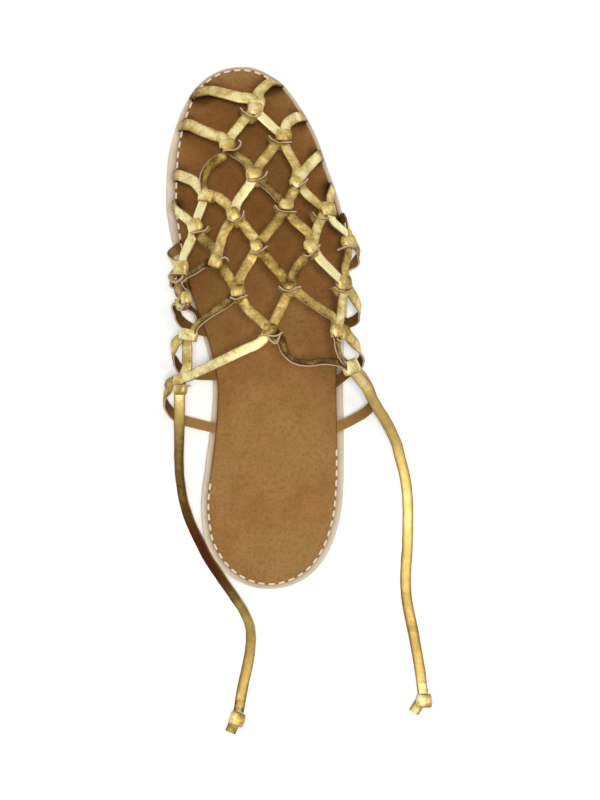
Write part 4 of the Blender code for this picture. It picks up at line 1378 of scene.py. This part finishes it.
def end_knot(name, points, ways, seed, tone):
    """The knot at the end of a tie, with its short tail."""
    leather = Leather()
    way = ways[-1]
    place = Vector((points[-1].x, points[-1].y, 0.4)) + way * 3.4
    knot = Knot("3a", place, UP, -way)
    knot.seed, knot.wide, knot.rise = seed, 7.4, 1.2
    knot.collar(leather)
    tail_way = Matrix.Rotation(math.radians(TAIL_TURN[name]), 3, "Z") @ way
    start = knot.place + way * 1.5 + UP * 0.3
    rows = [start + tail_way * t * 9.0 + UP * h for t, h in
            ((0.0, 0.8), (0.25, 0.9), (0.5, 0.2), (0.75, -0.35), (1.0, -0.5))]
    tail = smooth_path(rows, 14)
    across = tail_way.cross(UP)
    width = sizes()["tie_width"]
    leather.strap(tail, carried_sides(tail, across, across), width, [tone] * len(tail),
                  seed + 2)
    rows = [points[-3], points[-1], knot.place + UP * 0.9]
    into = smooth_path([row + UP * 0.1 for row in rows], 8)
    across = way.cross(UP)
    leather.strap(into, carried_sides(into, across, across), width * 0.97,
                  [tone] * len(into), seed)
    return leather.made(name.replace("tie", "end_knot") + "_wrap")


class SANDAL_OT_outsole(bpy.types.Operator):
    """Makes the leather outsole"""
    bl_idname = "sandal.outsole"
    bl_label = "Outsole"

    def execute(self, context):
        profile = rounded(OUTSOLE_THICKNESS, 0.0, 0.6, 5.0, 4)
        made = sole_mesh("outsole_leather", 0.0, profile, 6, sole_leather())
        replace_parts(made, "outsole")
        return {"FINISHED"}


class SANDAL_OT_insole(bpy.types.Operator):
    """Makes the suede insole"""
    bl_idname = "sandal.insole"
    bl_label = "Insole"

    def execute(self, context):
        profile = rounded(INSOLE_THICKNESS, INSOLE_UNDER, 1.0, 4.5, 6)
        made = sole_mesh("insole_suede", 1.0, profile, 26, suede(), 0.25)
        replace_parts(made, "insole")
        return {"FINISHED"}


class SANDAL_OT_stitching(bpy.types.Operator):
    """Sews the row of stitches along the insole's edge"""
    bl_idname = "sandal.stitching"
    bl_label = "Stitching"

    def execute(self, context):
        size = sizes()
        points, faces = [], []
        for start, end, where in STITCHED:
            line = stitch_line(start, end, where)
            reach = reaches(line)
            count = int(reach[-1] / size["stitch_pitch"])
            for k in range(count):
                middle = (k + 0.5) * reach[-1] / count
                self.stitch(points, faces, line, reach, middle, size)
        mesh = smooth_mesh("stitching", [at(*point) for point in points], faces)
        mesh.materials.append(thread())
        piece("stitching", mesh)
        return {"FINISHED"}

    @staticmethod
    def stitch(points, faces, line, reach, middle, size):
        """One stitch: a fat thread that dives into the suede at both ends."""
        rings, around = 9, 10
        first = len(points)

        def place(distance):
            i = max(0, min(len(line) - 2, sum(1 for one in reach[1:-1] if one <= distance)))
            t = (distance - reach[i]) / (reach[i + 1] - reach[i])
            return line[i].lerp(line[i + 1], t), (line[i + 1] - line[i]).normalized()

        for j in range(rings):
            share = 2.0 * j / (rings - 1) - 1.0
            centre, way = place(middle + share * size["stitch_length"] / 2)
            side = way.cross(UP)
            fat = math.sqrt(max(0.0, 1.0 - share**4))
            for a in range(around):
                angle = 2.0 * math.pi * a / around
                points.append(centre + side * math.cos(angle) * size["stitch_width"] / 2 * fat
                              + UP * (math.sin(angle) * 0.45 * fat - 0.55 * share**4 + 0.05))
        for j in range(rings - 1):
            for a in range(around):
                b = (a + 1) % around
                one, two = first + j * around, first + (j + 1) * around
                faces.append((one + a, two + a, two + b, one + b))
        faces.append(tuple(range(first, first + around)))
        last = first + (rings - 1) * around
        faces.append(tuple(range(last + around - 1, last - 1, -1)))


class SANDAL_OT_net(bpy.types.Operator):
    """Ties the net's straps between the knots"""
    bl_idname = "sandal.net"
    bl_label = "Net straps"

    def execute(self, context):
        width = sizes()["strap_width"]
        tied = knots()
        leather = Leather()
        for seed, (one, two) in enumerate(NET):
            points, sides, tones, rolls = net_strap(one, two, tied)
            leather.strap(points, sides, width, tones, seed + 100, rolls)
        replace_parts(leather.made("net_straps"), "upper")
        return {"FINISHED"}


class SANDAL_OT_edge_straps(bpy.types.Operator):
    """Runs the net's outer straps down into the sole"""
    bl_idname = "sandal.edge_straps"
    bl_label = "Edge straps"

    def execute(self, context):
        tied = knots()
        leather = Leather()
        for seed, (name, side, y, wider, tone, places) in enumerate(FOLDED):
            rows, out = folded_path(tied[name], side, y, places)
            edge_strap(leather, rows, out, wider, tone, seed + 200)
        for seed, (name, side, y, route) in enumerate(LOOPED):
            loop(leather, looped_path(tied[name], side, y, route), side, seed + 300)
        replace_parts(leather.made("edge_straps"), "upper")
        return {"FINISHED"}


class SANDAL_OT_knots(bpy.types.Operator):
    """Wraps the knots"""
    bl_idname = "sandal.knots"
    bl_label = "Knots"

    def execute(self, context):
        leather = Leather()
        tied = knots()
        for knot in tied.values():
            knot.collar(leather)
        for name, kind, edge in LIPS:
            tied[name].lip(leather, kind, edge, CUP_SIDES.get(name, 0))
        for name, across, along, wide, tall, taper in SECOND_TURNS:
            knot = tied[name]
            knot.middle, knot.wide, knot.tall = knot.at(across, along, 0.8), wide, tall
            knot.taper = taper
            knot.collar(leather)
        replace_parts(leather.made("net_knots"), "upper")
        return {"FINISHED"}


class SANDAL_PT_panel(bpy.types.Panel):
    """The sandal's sizes, colours and pieces"""
    bl_idname = "SANDAL_PT_panel"
    bl_label = "Knotted sandal"
    bl_space_type = "VIEW_3D"
    bl_region_type = "UI"
    bl_category = "Sandal"

    def draw(self, context):
        for group in (context.scene.sandal_sizes, context.scene.sandal_colours):
            box = self.layout.box()
            for name in group.__annotations__:
                box.prop(group, name)
        for operator in OPERATORS:
            self.layout.operator(operator.bl_idname)


OPERATORS = (SANDAL_OT_stage, SANDAL_OT_ties, SANDAL_OT_outsole, SANDAL_OT_insole,
             SANDAL_OT_stitching, SANDAL_OT_net, SANDAL_OT_edge_straps, SANDAL_OT_knots)
CLASSES = (SandalSizes, SandalColours, *OPERATORS, SANDAL_PT_panel)


def register():
    for one in CLASSES:
        bpy.utils.register_class(one)
    bpy.types.Scene.sandal_sizes = PointerProperty(type=SandalSizes)
    bpy.types.Scene.sandal_colours = PointerProperty(type=SandalColours)


def unregister():
    del bpy.types.Scene.sandal_sizes
    del bpy.types.Scene.sandal_colours
    for one in reversed(CLASSES):
        bpy.utils.unregister_class(one)


def main():
    """Makes every piece."""
    register()
    for operator in OPERATORS:
        group, name = operator.bl_idname.split(".")
        getattr(getattr(bpy.ops, group), name)()


if __name__ == "__main__":
    main()
